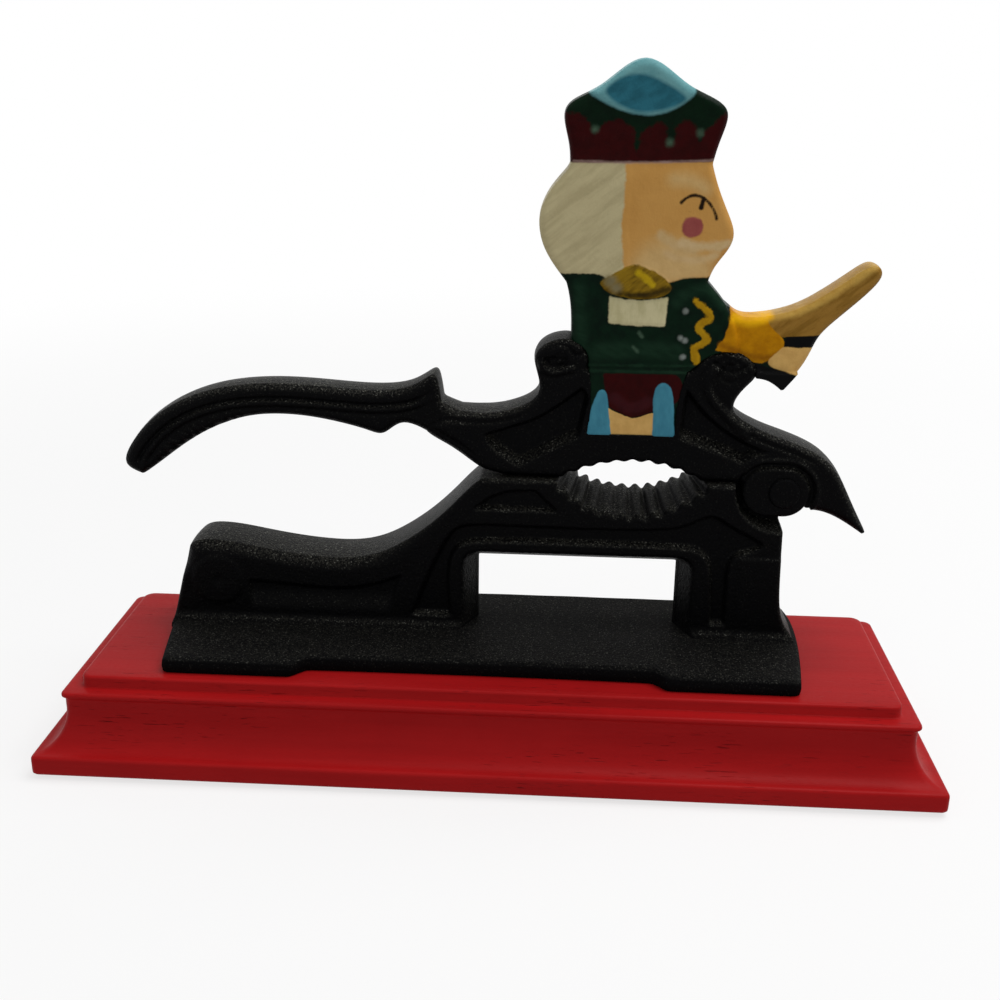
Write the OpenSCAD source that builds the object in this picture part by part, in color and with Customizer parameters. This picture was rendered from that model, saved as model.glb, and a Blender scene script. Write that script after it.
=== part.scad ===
// Lever nutcracker press: a cast lever carrying a toy soldier closes on a cast
// base with a toothed nut seat, and the base is screwed to a moulded wooden board.
// X runs along the board, Y away from the viewer, Z up. The origin is at the
// middle of the footprint, where the felt pads meet the table.

/* [Board] */
// Length of the wooden board
board_l = 254; // [230:1:280]
// Width of the wooden board
board_w = 83; // [76:1:95]
// Thickness of the wooden board
board_h = 25.4; // [22:0.1:32]
// Height of the square band round the foot of the board
foot_band_h = 5.7; // [4:0.1:7]
// How far the panel on top stands in from the board's outer edge
panel_inset = 12; // [10:0.1:14]
// Height of the step up to the panel
panel_step = 3.4; // [2:0.1:4.5]

/* [Casting thickness] */
// Distance from the board's middle line back to the castings' middle plane
web_back = 11.5; // [8:0.1:13]
// Thickness of the upright part of the base casting
web_t = 19; // [17:0.5:22]
// Thickness of the lever between its jaws
lever_t = 15; // [13:0.5:17]
// Thickness of the lever's grip
grip_t = 12.4; // [10:0.2:14]
// Thickness of the soldier's body
soldier_t = 14; // [11:0.5:15]

/* [Flange] */
// Thickness of the flange that lies on the board
flange_t = 4.4; // [3.5:0.1:6]
// Depth of the shallow recess in the flange's front edge
flange_recess = 5; // [2:0.1:7]
// Radius of the fillet along the foot of the web
foot_r = 3; // [2:0.1:4]

/* [Heel and window] */
// Distance of the heel's boss from the middle of the board
boss_x = -82.8; // [-84:0.1:-81]
// Height of the heel's boss over the board
boss_z = 17.5; // [16.5:0.1:18.5]
// Radius of the heel's boss
boss_r = 7.6; // [6:0.1:8]
// How far the boss stands out of the web
boss_proud = 0.5; // [0.3:0.1:1]
// Left side of the window
window_left = -5.2; // [-6:0.1:-4.4]
// Right side of the window
window_right = 54.6; // [53.6:0.1:55.4]
// Height of the window's head over the board
window_top = 25.2; // [23:0.1:26.4]

/* [Nut seat] */
// Middle of the nut seat along the board
seat_x = 39.5; // [38:0.1:41]
// Height of the closing plane of the jaws over the board
jaw_z = 51.6; // [50:0.1:53]
// Clearance between the lever and the shoulders that it rests on
rest_gap = 0.3; // [0.2:0.05:0.6]
// Width of the nut seat in the lower jaw
seat_w = 43.8; // [40:0.2:46]
// Depth of the lower jaw
lower_jaw_d = 9.8; // [8:0.1:12]
// How much tighter the lower jaw's arc is at the rear face, as mould draft
jaw_draft = 2.6; // [0.5:0.1:3.4]
// Width of the arc in the upper jaw
upper_jaw_w = 40; // [36:0.2:42]
// Depth of the upper jaw
upper_jaw_d = 5.5; // [4:0.1:6.5]
// Number of flutes between the teeth of the lower jaw
lower_flutes = 11; // [8:1:13]
// Number of flutes between the teeth of the upper jaw
upper_flutes = 9; // [6:1:11]
// Radius of a tooth flute
flute_r = 1.5; // [1.2:0.05:1.8]

/* [Hinge] */
// Distance of the hinge from the middle of the board
hinge_x = 83.2; // [82:0.1:84.5]
// Height of the hinge over the board
hinge_z = 49.6; // [49:0.1:50.5]
// Radius of the hinge rivet's shank
rivet_r = 2.6; // [2:0.1:3.2]
// Radius of the rivet's formed head
rivet_head_r = 4.5; // [3.6:0.1:5]
// Running clearance round the rivet in the lever
rivet_clear = 0.06; // [0.02:0.01:0.1]
// Radius of the lever's ear
ear_r = 7.3; // [6.5:0.1:7.6]
// How far the ear reaches towards the jaws
ear_reach = 4.6; // [3:0.1:5]
// How far the ear stands out of the lever's face
ear_proud = 0.5; // [0.3:0.1:1.5]
// Depth of the groove round the ear
ear_groove_d = 1; // [0.6:0.1:2.6]
// Width of the groove round the ear
ear_groove = 1.6; // [1.4:0.1:2]
// Radius of the ear on the base casting
base_ear_r = 7.9; // [7:0.1:8.2]
// Gap between the lapped faces of the hinge
lap_gap = 0.4; // [0.3:0.05:0.6]
// Radius of the cradle that the lever's ear turns in
cradle_r = 12.7; // [12.4:0.1:13.4]

/* [Soldier] */
// Height of the saddle that the coat stands on, over the board
saddle_z = 84.6; // [84:0.1:85.2]
// Height of the legs
leg_h = 19.4; // [18.4:0.1:20]
// Height of the coat
coat_h = 24.6; // [23.6:0.1:27]
// Height of the head between the coat and the hat
head_h = 31.2; // [30:0.1:34]
// Height of the hat with its dome
hat_h = 26.6; // [25:0.1:30]
// How far the coloured layers stand out of the soldier's faces
layer_t = 0.7; // [0.3:0.1:1]

/* [Relief] */
// Depth of the pockets in the lever
pocket_d = 4; // [2.5:0.1:5]
// Depth of the channels in the base casting
channel_d = 2.6; // [1.5:0.1:4]
// Depth of the seat for the soldier's legs
leg_seat_d = 3.4; // [2.5:0.1:4]
// Depth of the grooves along the grip
groove_d = 0.7; // [0.4:0.1:1]
// Width of the grooves along the grip
groove_w = 0.9; // [0.6:0.1:1.2]
// Depth of the volutes' strokes
volute_d = 1.1; // [0.6:0.1:1.4]
// Width of the volutes' strokes
volute_w = 0.9; // [0.6:0.1:1]

/* [Fasteners and pads] */
// Radius of the mounting screws
screw_r = 2.5; // [2:0.1:3]
// Length of a mounting screw under its head
screw_l = 25; // [22:1:28]
// Depth of the counterbores under the board
counterbore_d = 9; // [8:0.5:11]
// Clearance round a screw in the board
screw_clear = 0.3; // [0.2:0.05:0.5]
// Thickness of a washer
washer_t = 1; // [0.8:0.1:1.4]
// Radius of a washer
washer_r = 5; // [4.6:0.1:6]
// Radius of a felt pad
pad_r = 8; // [6:0.5:10]
// Thickness of a felt pad
pad_t = 1.2; // [0.8:0.1:2]

/* [Hidden] */

$fn = 64;
steps = 2;                                   // outline points for each control point
min_edge = 0.28;                             // shortest outline edge that is kept
over = 1;                                    // how far a cut runs past a face

iron = [0.07, 0.07, 0.075];
red_paint = [0.66, 0.09, 0.09];
steel = [0.62, 0.62, 0.64];
felt = [0.12, 0.2, 0.13];
coat_green = [0.03, 0.17, 0.1];
maroon = [0.25, 0.06, 0.08];
hair_grey = [0.66, 0.64, 0.53];
skin = [0.83, 0.62, 0.36];
gold = [0.6, 0.47, 0.13];
sky_blue = [0.3, 0.6, 0.7];

board_z = pad_t;                             // underside of the board
deck_z = pad_t + board_h;                    // top of the board, where the casting lies
web_front = web_back - web_t / 2;
web_rear = web_back + web_t / 2;
lever_front = web_back - lever_t / 2;
lever_rear = web_back + lever_t / 2;
soldier_front = web_back - soldier_t / 2;
soldier_rear = web_back + soldier_t / 2;
ear_front = lever_front - ear_proud;
lever_z = jaw_z + rest_gap;                  // underside of the lever
lower_jaw_r = (pow(seat_w / 2, 2) + pow(lower_jaw_d, 2)) / (2 * lower_jaw_d);
upper_jaw_r = (pow(upper_jaw_w / 2, 2) + pow(upper_jaw_d, 2)) / (2 * upper_jaw_d);
lower_jaw_z = jaw_z - lower_jaw_d + lower_jaw_r;
upper_jaw_z = lever_z + upper_jaw_d - upper_jaw_r;
shoulder_z = saddle_z + coat_h;
brim_z = shoulder_z + head_h;
hat_top_z = brim_z + hat_h;
leg_z = saddle_z - leg_h;
screw_xs = [-70, -28, 72];                   // the screws stand under the web
screw_depth = screw_l + counterbore_d - washer_t - board_h;  // reach of a screw into the casting
pad_x = board_l / 2 - 20;
pad_y = board_w / 2 - 14;

// ---- outlines ---------------------------------------------------------------

// A closed, uniform cubic B-spline. A control point [x, z, 2] is used twice,
// which draws the curve into a tight corner there.
function doubled(c) = [for (p = c) each [for (k = [1 : len(p) > 2 ? p[2] : 1]) [p[0], p[1]]]];
function spline_at(a, b, c, d, t) =
    (pow(1 - t, 3) * a + (3 * pow(t, 3) - 6 * pow(t, 2) + 4) * b
     + (-3 * pow(t, 3) + 3 * pow(t, 2) + 3 * t + 1) * c + pow(t, 3) * d) / 6;
function spline(ctrl) =
    let (c = doubled(ctrl), n = len(c),
         raw = [for (i = [0 : n - 1], k = [0 : steps - 1])
                spline_at(c[i], c[(i + 1) % n], c[(i + 2) % n], c[(i + 3) % n], k / steps)],
         m = len(raw))
    [for (i = [0 : m - 1]) if (norm(raw[i] - raw[(i + m - 1) % m]) > min_edge) raw[i]];

// Moves a clockwise outline inwards by d, by less where it is curved too tightly.
function inset(p, d) =
    let (n = len(p))
    [for (i = [0 : n - 1])
        let (a = p[(i + n - 1) % n], b = p[i], c = p[(i + 1) % n],
             u = b - a, v = c - b, w = c - a,
             turn = 2 * (u[1] * v[0] - u[0] * v[1]) / (norm(u) * norm(v) * norm(w)),
             limit = turn > 0.01 ? 0.6 / turn : 100,
             inward = [w[1], -w[0]] / norm(w))
        b + inward * min(d, limit)];

// The band between two insets of an outline, from point i to point j.
function band(p, i, j, d0, d1) =
    let (outer = inset(p, d0), inner = inset(p, d1))
    concat([for (k = [i : j]) outer[k]], [for (k = [j : -1 : i]) inner[k]]);

// A spiral stroke round c, from radius r0 at angle a0 to radius r1 at angle a1.
function volute(c, r0, r1, a0, a1) =
    let (n = 20)
    concat([for (k = [0 : n]) let (t = k / n, a = a0 + (a1 - a0) * t)
            c + (r0 + (r1 - r0) * t + volute_w / 2) * [cos(a), sin(a)]],
           [for (k = [n : -1 : 0]) let (t = k / n, a = a0 + (a1 - a0) * t)
            c + (r0 + (r1 - r0) * t - volute_w / 2) * [cos(a), sin(a)]]);

// ---- solids -----------------------------------------------------------------

// A prism with the given front view, from y0 back to y1.
module prism(y0, y1) {
    translate([0, y1, 0]) rotate([90, 0, 0]) linear_extrude(y1 - y0) children();
}

// A rod along Y.
module rod(x, z, r, y0, y1) {
    translate([x, y1, z]) rotate([90, 0, 0]) cylinder(r = r, h = y1 - y0);
}

// The same cut into both faces of a plate that reaches from y0 back to y1.
module both_faces(y0, y1, d) {
    prism(y0 - over, y0 + d) children();
    prism(y1 - d, y1 + over) children();
}

module on_deck() {
    translate([0, 0, deck_z]) children();
}

// A cone along Y, of radius r0 at y0 and r1 at y1, that runs past both.
module draft_rod(x, z, r0, r1, y0, y1) {
    more = over * (r1 - r0) / (y1 - y0);
    translate([x, y1 + over, z]) rotate([90, 0, 0])
        cylinder(r1 = r1 + more, r2 = r0 - more, h = y1 - y0 + 2 * over);
}

// The flutes that leave the teeth standing between them, on an arc of radius r and width w
// round [seat_x, z], centred on the direction mid. They lean in by draft from y0 to y1.
module flute_row(z, r, w, count, mid, y0, y1, draft) {
    half = asin(w / 2 / r);
    lean = atan(draft / (y1 - y0));
    for (i = [0 : count - 1])
        translate([seat_x, 0, z]) rotate([0, -(mid - half + (2 * i + 1) * half / count), 0])
            translate([r, y0, 0]) rotate([-90, 0, lean]) translate([0, 0, -2 * over])
                cylinder(r = flute_r, h = (y1 - y0) / cos(lean) + 4 * over);
}

// ---- board ------------------------------------------------------------------

// Section of the moulding: how far it stands in from the edge, at each height.
cove_top = board_h - panel_step - 5.5;
moulding = concat(
    [[0.8, 0], [0, 0.8], [0, foot_band_h - 0.5], [0.5, foot_band_h]],
    [for (a = [0 : 9 : 90]) [0.8 + 7.3 * sin(a), foot_band_h + (cove_top - foot_band_h) * (1 - cos(a))]],
    [[8.1, board_h - panel_step - 1.6], [7.4, board_h - panel_step - 1.1],
     [7.4, board_h - panel_step - 0.3], [7.8, board_h - panel_step],
     [panel_inset, board_h - panel_step], [panel_inset, board_h - 0.5], [panel_inset + 0.5, board_h]]);

module moulded_section(w) {
    polygon(concat([for (p = moulding) [p[0] - w / 2, p[1]]],
                   [for (i = [len(moulding) - 1 : -1 : 0]) [w / 2 - moulding[i][0], moulding[i][1]]]));
}

module wooden_base() {
    color(red_paint) translate([0, 0, board_z]) difference() {
        intersection() {
            translate([0, board_w / 2, 0]) rotate([90, 0, 0])
                linear_extrude(board_w) moulded_section(board_l);
            translate([-board_l / 2, 0, 0]) rotate([90, 0, 90])
                linear_extrude(board_l) moulded_section(board_w);
        }
        for (x = screw_xs) {
            translate([x, web_back, -over]) cylinder(r = screw_r + screw_clear, h = board_h + 2 * over);
            translate([x, web_back, -over]) cylinder(r = washer_r + 0.5, h = counterbore_d + over);
        }
    }
}

module felt_pad(sx, sy) {
    color(felt) translate([sx * pad_x, sy * pad_y, 0]) cylinder(r = pad_r, h = pad_t);
}

module felt_pad_front_left() {
    felt_pad(-1, -1);
}

module felt_pad_front_right() {
    felt_pad(1, -1);
}

module felt_pad_rear_left() {
    felt_pad(-1, 1);
}

module felt_pad_rear_right() {
    felt_pad(1, 1);
}

// ---- fasteners --------------------------------------------------------------

module mounting_screws() {
    head_h = 3;
    head_r = 4.4;
    slot_w = 1.1;
    slot_d = 1.2;
    color(steel) for (x = screw_xs) translate([x, web_back, board_z + counterbore_d - washer_t]) {
        cylinder(r = screw_r, h = screw_l);
        difference() {
            translate([0, 0, -head_h]) cylinder(r = head_r, h = head_h);
            translate([-head_r - over, -slot_w / 2, -head_h - over])
                cube([2 * (head_r + over), slot_w, slot_d + over]);
        }
    }
}

module screw_washers() {
    color(steel) for (x = screw_xs) translate([x, web_back, board_z + counterbore_d - washer_t]) difference() {
        cylinder(r = washer_r, h = washer_t);
        translate([0, 0, -over]) cylinder(r = screw_r + screw_clear, h = washer_t + 2 * over);
    }
}

// ---- base casting -----------------------------------------------------------

web_outline = spline([
    [-98, -2, 2], [-97.4, 4], [-94, 16.6], [-91.4, 27.4, 2], [-88.6, 29.6], [-80, 29.2], [-70, 27.2],
    [-60, 25.6], [-50, 24.7], [-42, 24.8], [-35, 26.4], [-28, 30], [-20, 35.7], [-13, 42.4],
    [-8, 48.2], [-4, jaw_z, 2], [4, jaw_z], [30, jaw_z], [60, jaw_z], [hinge_x - 7, jaw_z, 2],
    [hinge_x - 0.3, jaw_z - 3, 2], [hinge_x - 0.3, 38], [hinge_x, 26], [hinge_x + 0.4, 15],
    [hinge_x + 2.4, 9], [hinge_x + 6, 5.4], [hinge_x + 8, 0], [hinge_x + 8, -2, 2], [40, -2], [-40, -2]]);

flange_y = 25.6;
flange_outline = spline([
    [-92.6, -flange_y, 2], [-95.2, -10], [-97.4, 3], [-98.8, 14], [-98, 24], [-95.5, flange_y + 3.4, 2],
    [-40, flange_y + 3.4], [40, flange_y + 3.4], [88.5, flange_y + 3.4, 2], [91.2, 20], [91.2, 5],
    [89.6, -11], [87.4, -flange_y, 2], [70, -flange_y], [50, -flange_y], [45.5, flange_recess - flange_y],
    [20, flange_recess - flange_y], [-30, flange_recess - flange_y], [-51, flange_recess - flange_y],
    [-58, -flange_y], [-75, -flange_y]]);

// Channel between the jaw rail and the frame of the window.
channel_outline = spline([
    [-24.5, 8, 2], [-20.3, 20.2], [-15.2, 31], [-11.6, 37.2], [-4, 37.9], [12, 37.5], [30, 37.2],
    [50, 37.4], [57.5, 39.6], [hinge_x - 20.1, 43.8], [hinge_x - 14.7, 39.2], [hinge_x - 5.7, 35.2],
    [hinge_x - 4.4, 33.2], [hinge_x - 8.2, 31.2], [hinge_x - 12.6, 30.4], [hinge_x - 14.4, 27.5],
    [hinge_x - 14.3, 18], [hinge_x - 14.2, 8, 2], [hinge_x - 18.8, 8, 2], [hinge_x - 19.3, 18],
    [hinge_x - 19.8, 27.4], [60.4, window_top + 6.2], [54, window_top + 7], [30, window_top + 7],
    [-4, window_top + 7.2], [-10.4, window_top + 6], [-12.8, 26.4], [-13.4, 18], [-12.4, 8, 2]]);

// Sunk panel in the heel of the casting, under its curved top.
heel_outline = spline([
    [-73.4, 7, 2], [-73.4, 17.6, 2], [-65, 17.2], [-55, 16.2], [-45, 15.8], [-36, 17.4], [-27.6, 20.6, 2],
    [-30, 13], [-31.6, 7, 2]]);

// Small sunk trapezium in the left shoulder.
shoulder_outline = spline([
    [-6, 42.4, 2], [-2, 46], [4, 48.6], [12, 48.6, 2], [18.6, 42.2, 2], [6, 42.2]]);

// The window is narrowest at the middle plane, as the two halves of a mould
// leave it, so it is what two prisms with the same waist have in common.
window_flare = [[-over, 4], [1.2, 3], [4, 1], [web_t / 2, 0],
                [web_t - 4, 1], [web_t - 1.2, 3], [web_t + over, 4]];

module window_cut() {
    last = len(window_flare) - 1;
    intersection() {
        translate([window_left - 6, 0, 0]) rotate([90, 0, 90]) linear_extrude(window_right - window_left + 12)
            polygon(concat([for (f = window_flare) [web_front + f[0], window_top + f[1]]],
                           [[web_rear + over, flange_t], [web_front - over, flange_t]]));
        linear_extrude(window_top + 6)
            polygon(concat([for (f = window_flare) [window_right + f[1], web_front + f[0]]],
                           [for (i = [last : -1 : 0])
                                [window_left - window_flare[i][1], web_front + window_flare[i][0]]]));
    }
}

// Fillet along the foot of the web, on both sides.
module foot_fillet(x0, x1, r) {
    for (side = [0, 1]) translate([x0, side * 2 * web_back, 0]) mirror([0, side, 0]) rotate([90, 0, 90])
        linear_extrude(x1 - x0) polygon(concat(
            [[web_front + 1, flange_t - 1], [web_front - r, flange_t - 1]],
            [for (a = [0 : 18 : 90]) [web_front - r + r * sin(a), flange_t + r - r * cos(a)]],
            [[web_front + 1, flange_t + r]]));
}

module base_casting() {
    color(iron) on_deck() difference() {
        union() {
            linear_extrude(flange_t) polygon(flange_outline);
            intersection() {
                prism(web_front, web_rear) polygon(web_outline);
                translate([-board_l / 2, -board_w / 2, 0]) cube([board_l, board_w, jaw_z + over]);
            }
            foot_fillet(boss_x - 13.2, window_left - 8.8, foot_r);
            foot_fillet(window_right + 9.4, hinge_x + 2, foot_r);
            rod(hinge_x, hinge_z, base_ear_r, web_back + lap_gap / 2, web_rear);
            rod(boss_x, boss_z, boss_r, web_front - boss_proud, web_rear + boss_proud);
        }
        window_cut();
        both_faces(web_front, web_rear, channel_d) polygon(channel_outline);
        both_faces(web_front, web_rear, 0.6 * channel_d) polygon(heel_outline);
        both_faces(web_front, web_rear, channel_d) polygon(shoulder_outline);
        // a small dimple in the middle of the boss
        both_faces(web_front, web_rear, boss_proud) translate([boss_x, boss_z]) circle(r = boss_r / 4);
        // nut seat and its teeth
        draft_rod(seat_x, lower_jaw_z, lower_jaw_r, lower_jaw_r - jaw_draft, web_front, web_rear);
        flute_row(lower_jaw_z, lower_jaw_r, seat_w, lower_flutes, -90, web_front, web_rear, jaw_draft);
        // cradle for the lever's ear, in the front half only
        rod(hinge_x - 1, hinge_z + 1.2, cradle_r, web_front - over, web_back + lap_gap / 2);
        rod(hinge_x, hinge_z, rivet_r, web_back - over, web_rear + over);
        for (x = screw_xs) translate([x, web_back, -over])
            cylinder(r = screw_r, h = screw_depth + over + 1.5);
    }
}

// ---- lever ------------------------------------------------------------------

grip_outline = spline([
    [-111.8, 52.4], [-109.4, 57.4], [-103.4, 64.4], [-95, 70.2], [-86, 74.2], [-76, 76.6], [-64, 77.5],
    [-52, 77], [-40, 76], [-30, 76], [-23.5, 77.6], [-18.8, 81.2], [-16.8, 81.6], [-15.6, 73, 2],
    [-6, 69, 2], [-14, 61, 2], [-24, 66.6], [-28.4, 66.6], [-32, 63], [-34.6, 62.8], [-38, 64.2],
    [-46, 66.2], [-54, 67.6], [-62, 68.2], [-71, 67.7], [-79, 65.2], [-86, 61.9], [-93, 57.4],
    [-99.6, 52.2], [-104.6, 48.6, 2], [-109.4, 50.6]]);

// The lever from its neck to its tail. Its top is the saddle that the soldier fills.
lever_outline = spline([
    [-17.5, 69.5], [-15.8, 71.4], [-8, 70.5], [-1, 70.4], [5.5, 72], [11, 74.6], [12.9, 78.4], [11.4, 83],
    [10.2, 87.6], [13.2, 91.2], [18, 92.8], [22.2, 92.6], [25.6, 89.8], [26.4, 87], [26, saddle_z, 2],
    [40, saddle_z], [54, saddle_z, 2], [56.8, 87.6], [60, 89.8], [65.3, 90.9], [69.4, 89.2], [73, 86],
    [73, 82.8], [70.2, 80.2], [67.4, 76.6], [66.8, 73.2], [69, 71], [72.4, 69], [hinge_x - 6.2, hinge_z + 17.2],
    [hinge_x, hinge_z + 15.2], [hinge_x + 6.5, hinge_z + 12.7], [hinge_x + 11.6, hinge_z + 9.8],
    [hinge_x + 15.2, hinge_z + 5.8], [hinge_x + 18.2, hinge_z], [hinge_x + 21.6, hinge_z - 6.6],
    [hinge_x + 25.6, hinge_z - 13.8, 2], [hinge_x + 17.8, hinge_z - 8.4], [hinge_x + 11.8, hinge_z - 5.6],
    [hinge_x + 6.8, hinge_z - 5.4], [hinge_x, hinge_z - 5], [hinge_x - 7, hinge_z - 5],
    [hinge_x - 13, lever_z, 2], [62, lever_z], [38, lever_z], [16, lever_z], [7, lever_z], [0.5, 52.5],
    [-4.5, 54], [-9, 57.4], [-14, 60.6], [-20.6, 63.8], [-22, 67.6]]);

pocket_left = spline([
    [-3, 64.6, 2], [-2, 60.4], [6.8, 54.8, 2], [15, 59.6], [24.2, 64.4, 2], [25.6, 71.6], [27, 76.6],
    [24.2, 79, 2], [20, 75.6], [12, 69.6], [5, 67.4]]);

pocket_right = spline([
    [52.4, 64.6, 2], [52.6, 72], [53.6, 79.4, 2], [56, 76.6], [59, 72.6], [65, 67.6], [72, 63.6],
    [hinge_x - 5.2, 61.4, 2], [hinge_x - 9.2, 59.8], [hinge_x - 12.6, 57.6, 2], [62, 61.4]]);

// The soldier's legs stand in a shallow seat in each face of the lever.
legs_outline = [[25.8, saddle_z], [54, saddle_z], [52.4, 79], [51.4, 73], [51.2, leg_z], [25.8, leg_z],
                [26.6, 72], [26.4, 79]];

left_eye = [17.6, saddle_z + 2.4];
right_eye = [65, saddle_z - 0.2];
eye_r = 1.4;

module ear_shape(r) {
    translate([hinge_x, hinge_z]) circle(r = r);
    translate([hinge_x - ear_reach, hinge_z]) circle(r = r);
    translate([hinge_x - ear_reach, hinge_z - r]) square([ear_reach, 2 * r]);
}

module lever_casting() {
    ear_rear = web_back - lap_gap / 2;
    web_of_ear = lever_front + ear_groove_d;  // front of the web that joins the ear to the lever
    color(iron) on_deck() difference() {
        union() {
            difference() {
                union() {
                    prism(lever_front, lever_rear) polygon(lever_outline);
                    prism(web_back - grip_t / 2, web_back + grip_t / 2) polygon(grip_outline);
                }
                prism(lever_front - over, lever_rear + over) ear_shape(ear_r + ear_groove);
            }
            prism(ear_front, ear_rear) ear_shape(ear_r);
            prism(web_of_ear, ear_rear) intersection() {
                ear_shape(ear_r + ear_groove + 0.3);
                polygon([[hinge_x - 12.6, lever_z + 0.4], [hinge_x - 2, hinge_z],
                         [hinge_x + 7.4, hinge_z - 5.2], [hinge_x + 12, hinge_z],
                         [hinge_x + 7, hinge_z + 12.4], [hinge_x - 11.2, hinge_z + 12.4]]);
            }
        }
        both_faces(lever_front, lever_rear, pocket_d) polygon(pocket_left);
        both_faces(lever_front, lever_rear, pocket_d) polygon(pocket_right);
        both_faces(lever_front, lever_rear, leg_seat_d) polygon(legs_outline);
        // two grooves along the grip, which end short of its spur
        for (inset_by = [3.6, 6.6])
            both_faces(web_back - grip_t / 2, web_back + grip_t / 2, groove_d)
                polygon(band(grip_outline, 3, 18, inset_by, inset_by + groove_w));
        // volutes that flank the soldier
        both_faces(lever_front, lever_rear, volute_d) polygon(volute(left_eye, eye_r, 4.4, 200, -120));
        both_faces(lever_front, lever_rear, volute_d) polygon(volute(right_eye, eye_r, 4.6, -20, 300));
        // upper jaw and its teeth
        rod(seat_x, upper_jaw_z, upper_jaw_r, lever_front - over, lever_rear + over);
        flute_row(upper_jaw_z, upper_jaw_r, upper_jaw_w, upper_flutes, 90, lever_front, lever_rear, 0);
        rod(hinge_x, hinge_z, rivet_r + rivet_clear, ear_front - over, ear_rear + over);
    }
}

module hinge_rivet() {
    head_h = 0.8;
    tail_h = 1.3;
    head_gap = 0.15;
    color(iron) on_deck() translate([hinge_x, 0, hinge_z]) rotate([-90, 0, 0]) rotate_extrude() polygon(concat(
        [[0, ear_front - head_gap - head_h], [rivet_head_r - head_h, ear_front - head_gap - head_h]],
        [for (a = [15 : 15 : 75])
            [rivet_head_r - head_h * (1 - sin(a)), ear_front - head_gap - head_h * cos(a)]],
        [[rivet_head_r, ear_front - head_gap], [rivet_r, ear_front - head_gap], [rivet_r, web_rear],
         [rivet_r + 1.2, web_rear]],
        [for (a = [15 : 15 : 75]) [(rivet_r + 1.2) * cos(a), web_rear + tail_h * sin(a)]],
        [[0, web_rear + tail_h]]));
}

// ---- soldier ----------------------------------------------------------------

soldier_outline = spline([
    [20.9, saddle_z + 3.4, 2], [20.9, saddle_z + 14.4], [20, shoulder_z - 4.2], [19, shoulder_z - 0.8, 2],
    [13, shoulder_z + 6.8], [11, shoulder_z + 13.2], [11.3, shoulder_z + 19], [14.4, brim_z - 6.4],
    [18.6, brim_z - 2], [19.2, brim_z - 0.4, 2], [19, brim_z + 4.6], [16.6, hat_top_z - 14.8],
    [18.4, hat_top_z - 11], [26, hat_top_z - 8.2], [31, hat_top_z - 3.6], [38.1, hat_top_z + 1.8],
    [45.2, hat_top_z - 3.4], [50, hat_top_z - 7.6], [57.6, hat_top_z - 10.4], [61, hat_top_z - 13.6],
    [58, brim_z + 5.6], [56.8, brim_z, 2], [58.6, brim_z - 6], [62, shoulder_z + 18.2],
    [64.3, shoulder_z + 13.2], [62.8, shoulder_z + 8.8], [59, shoulder_z + 4.4], [57.6, shoulder_z, 2],
    [60, shoulder_z - 2.6], [64, shoulder_z - 7.2], [67, saddle_z + 11.4], [68, saddle_z + 5.4],
    [66, saddle_z - 0.6, 2], [60, saddle_z - 4.6, 2], [30, saddle_z - 4.6, 2]]);

arm_outline = spline([
    [58, 104], [62.5, 104], [66, 100.2], [69.5, 99.2], [75, 99.8], [82.5, 101.6], [89.2, 105.4],
    [97.4, 111.4], [102.8, 115.6], [105.8, 112.2], [102.2, 107.4], [95.4, 101], [89.6, 95.6], [88, 91.8],
    [86, 86.8], [83, 82.6], [80.2, 79.2, 2], [76.6, 82.2], [72.4, 83], [64, 82], [58, 92]]);

crown_outline = spline([
    [24, hat_top_z - 8.6, 2], [28.6, hat_top_z - 6.6], [32.4, hat_top_z - 3.2], [38.1, hat_top_z + 0.4],
    [44, hat_top_z - 3.2], [48.4, hat_top_z - 7.2], [52, hat_top_z - 9.4, 2], [46, hat_top_z - 13.4],
    [38, hat_top_z - 15.4], [30, hat_top_z - 13.4]]);

epaulette_outline = spline([
    [27.6, shoulder_z - 2.2, 2], [32, shoulder_z + 2.8], [38, shoulder_z + 4.4], [44, shoulder_z + 2.2],
    [50, shoulder_z - 2.2, 2], [44, shoulder_z - 5.6], [38, shoulder_z - 6.6], [32, shoulder_z - 5.6]]);

// The shirt front under the epaulette.
shirt_outline = [[29.4, shoulder_z - 5.8], [45.4, shoulder_z - 5.8], [45, shoulder_z - 14.4],
                 [29.8, shoulder_z - 13.8]];

module soldier_legs() {
    module leg(x0, x1, z1) {
        polygon([[x0, leg_z], [x0 + 0.8, 73], [x0 + 2.6, z1 - 1.2], [(x0 + x1) / 2 + 0.6, z1],
                 [x1 - 0.4, z1 - 1.6], [x1 - 0.6, 73], [x1, leg_z]]);
    }
    color(maroon) both_sides(lever_front + leg_seat_d) prism(0, leg_seat_d - 0.6) polygon(legs_outline);
    color(sky_blue) both_sides(lever_front + leg_seat_d) prism(0, leg_seat_d) {
        leg(25.8, 33, saddle_z - 6);
        leg(44.4, 51.2, saddle_z - 4.2);
    }
}

// Puts a layer that starts at y = 0 and grows backwards on both faces, so that
// its inner side lies at y on the front face and mirrored on the rear one.
module both_sides(y) {
    translate([0, y, 0]) mirror([0, 1, 0]) children();
    translate([0, 2 * web_back - y, 0]) children();
}

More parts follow.
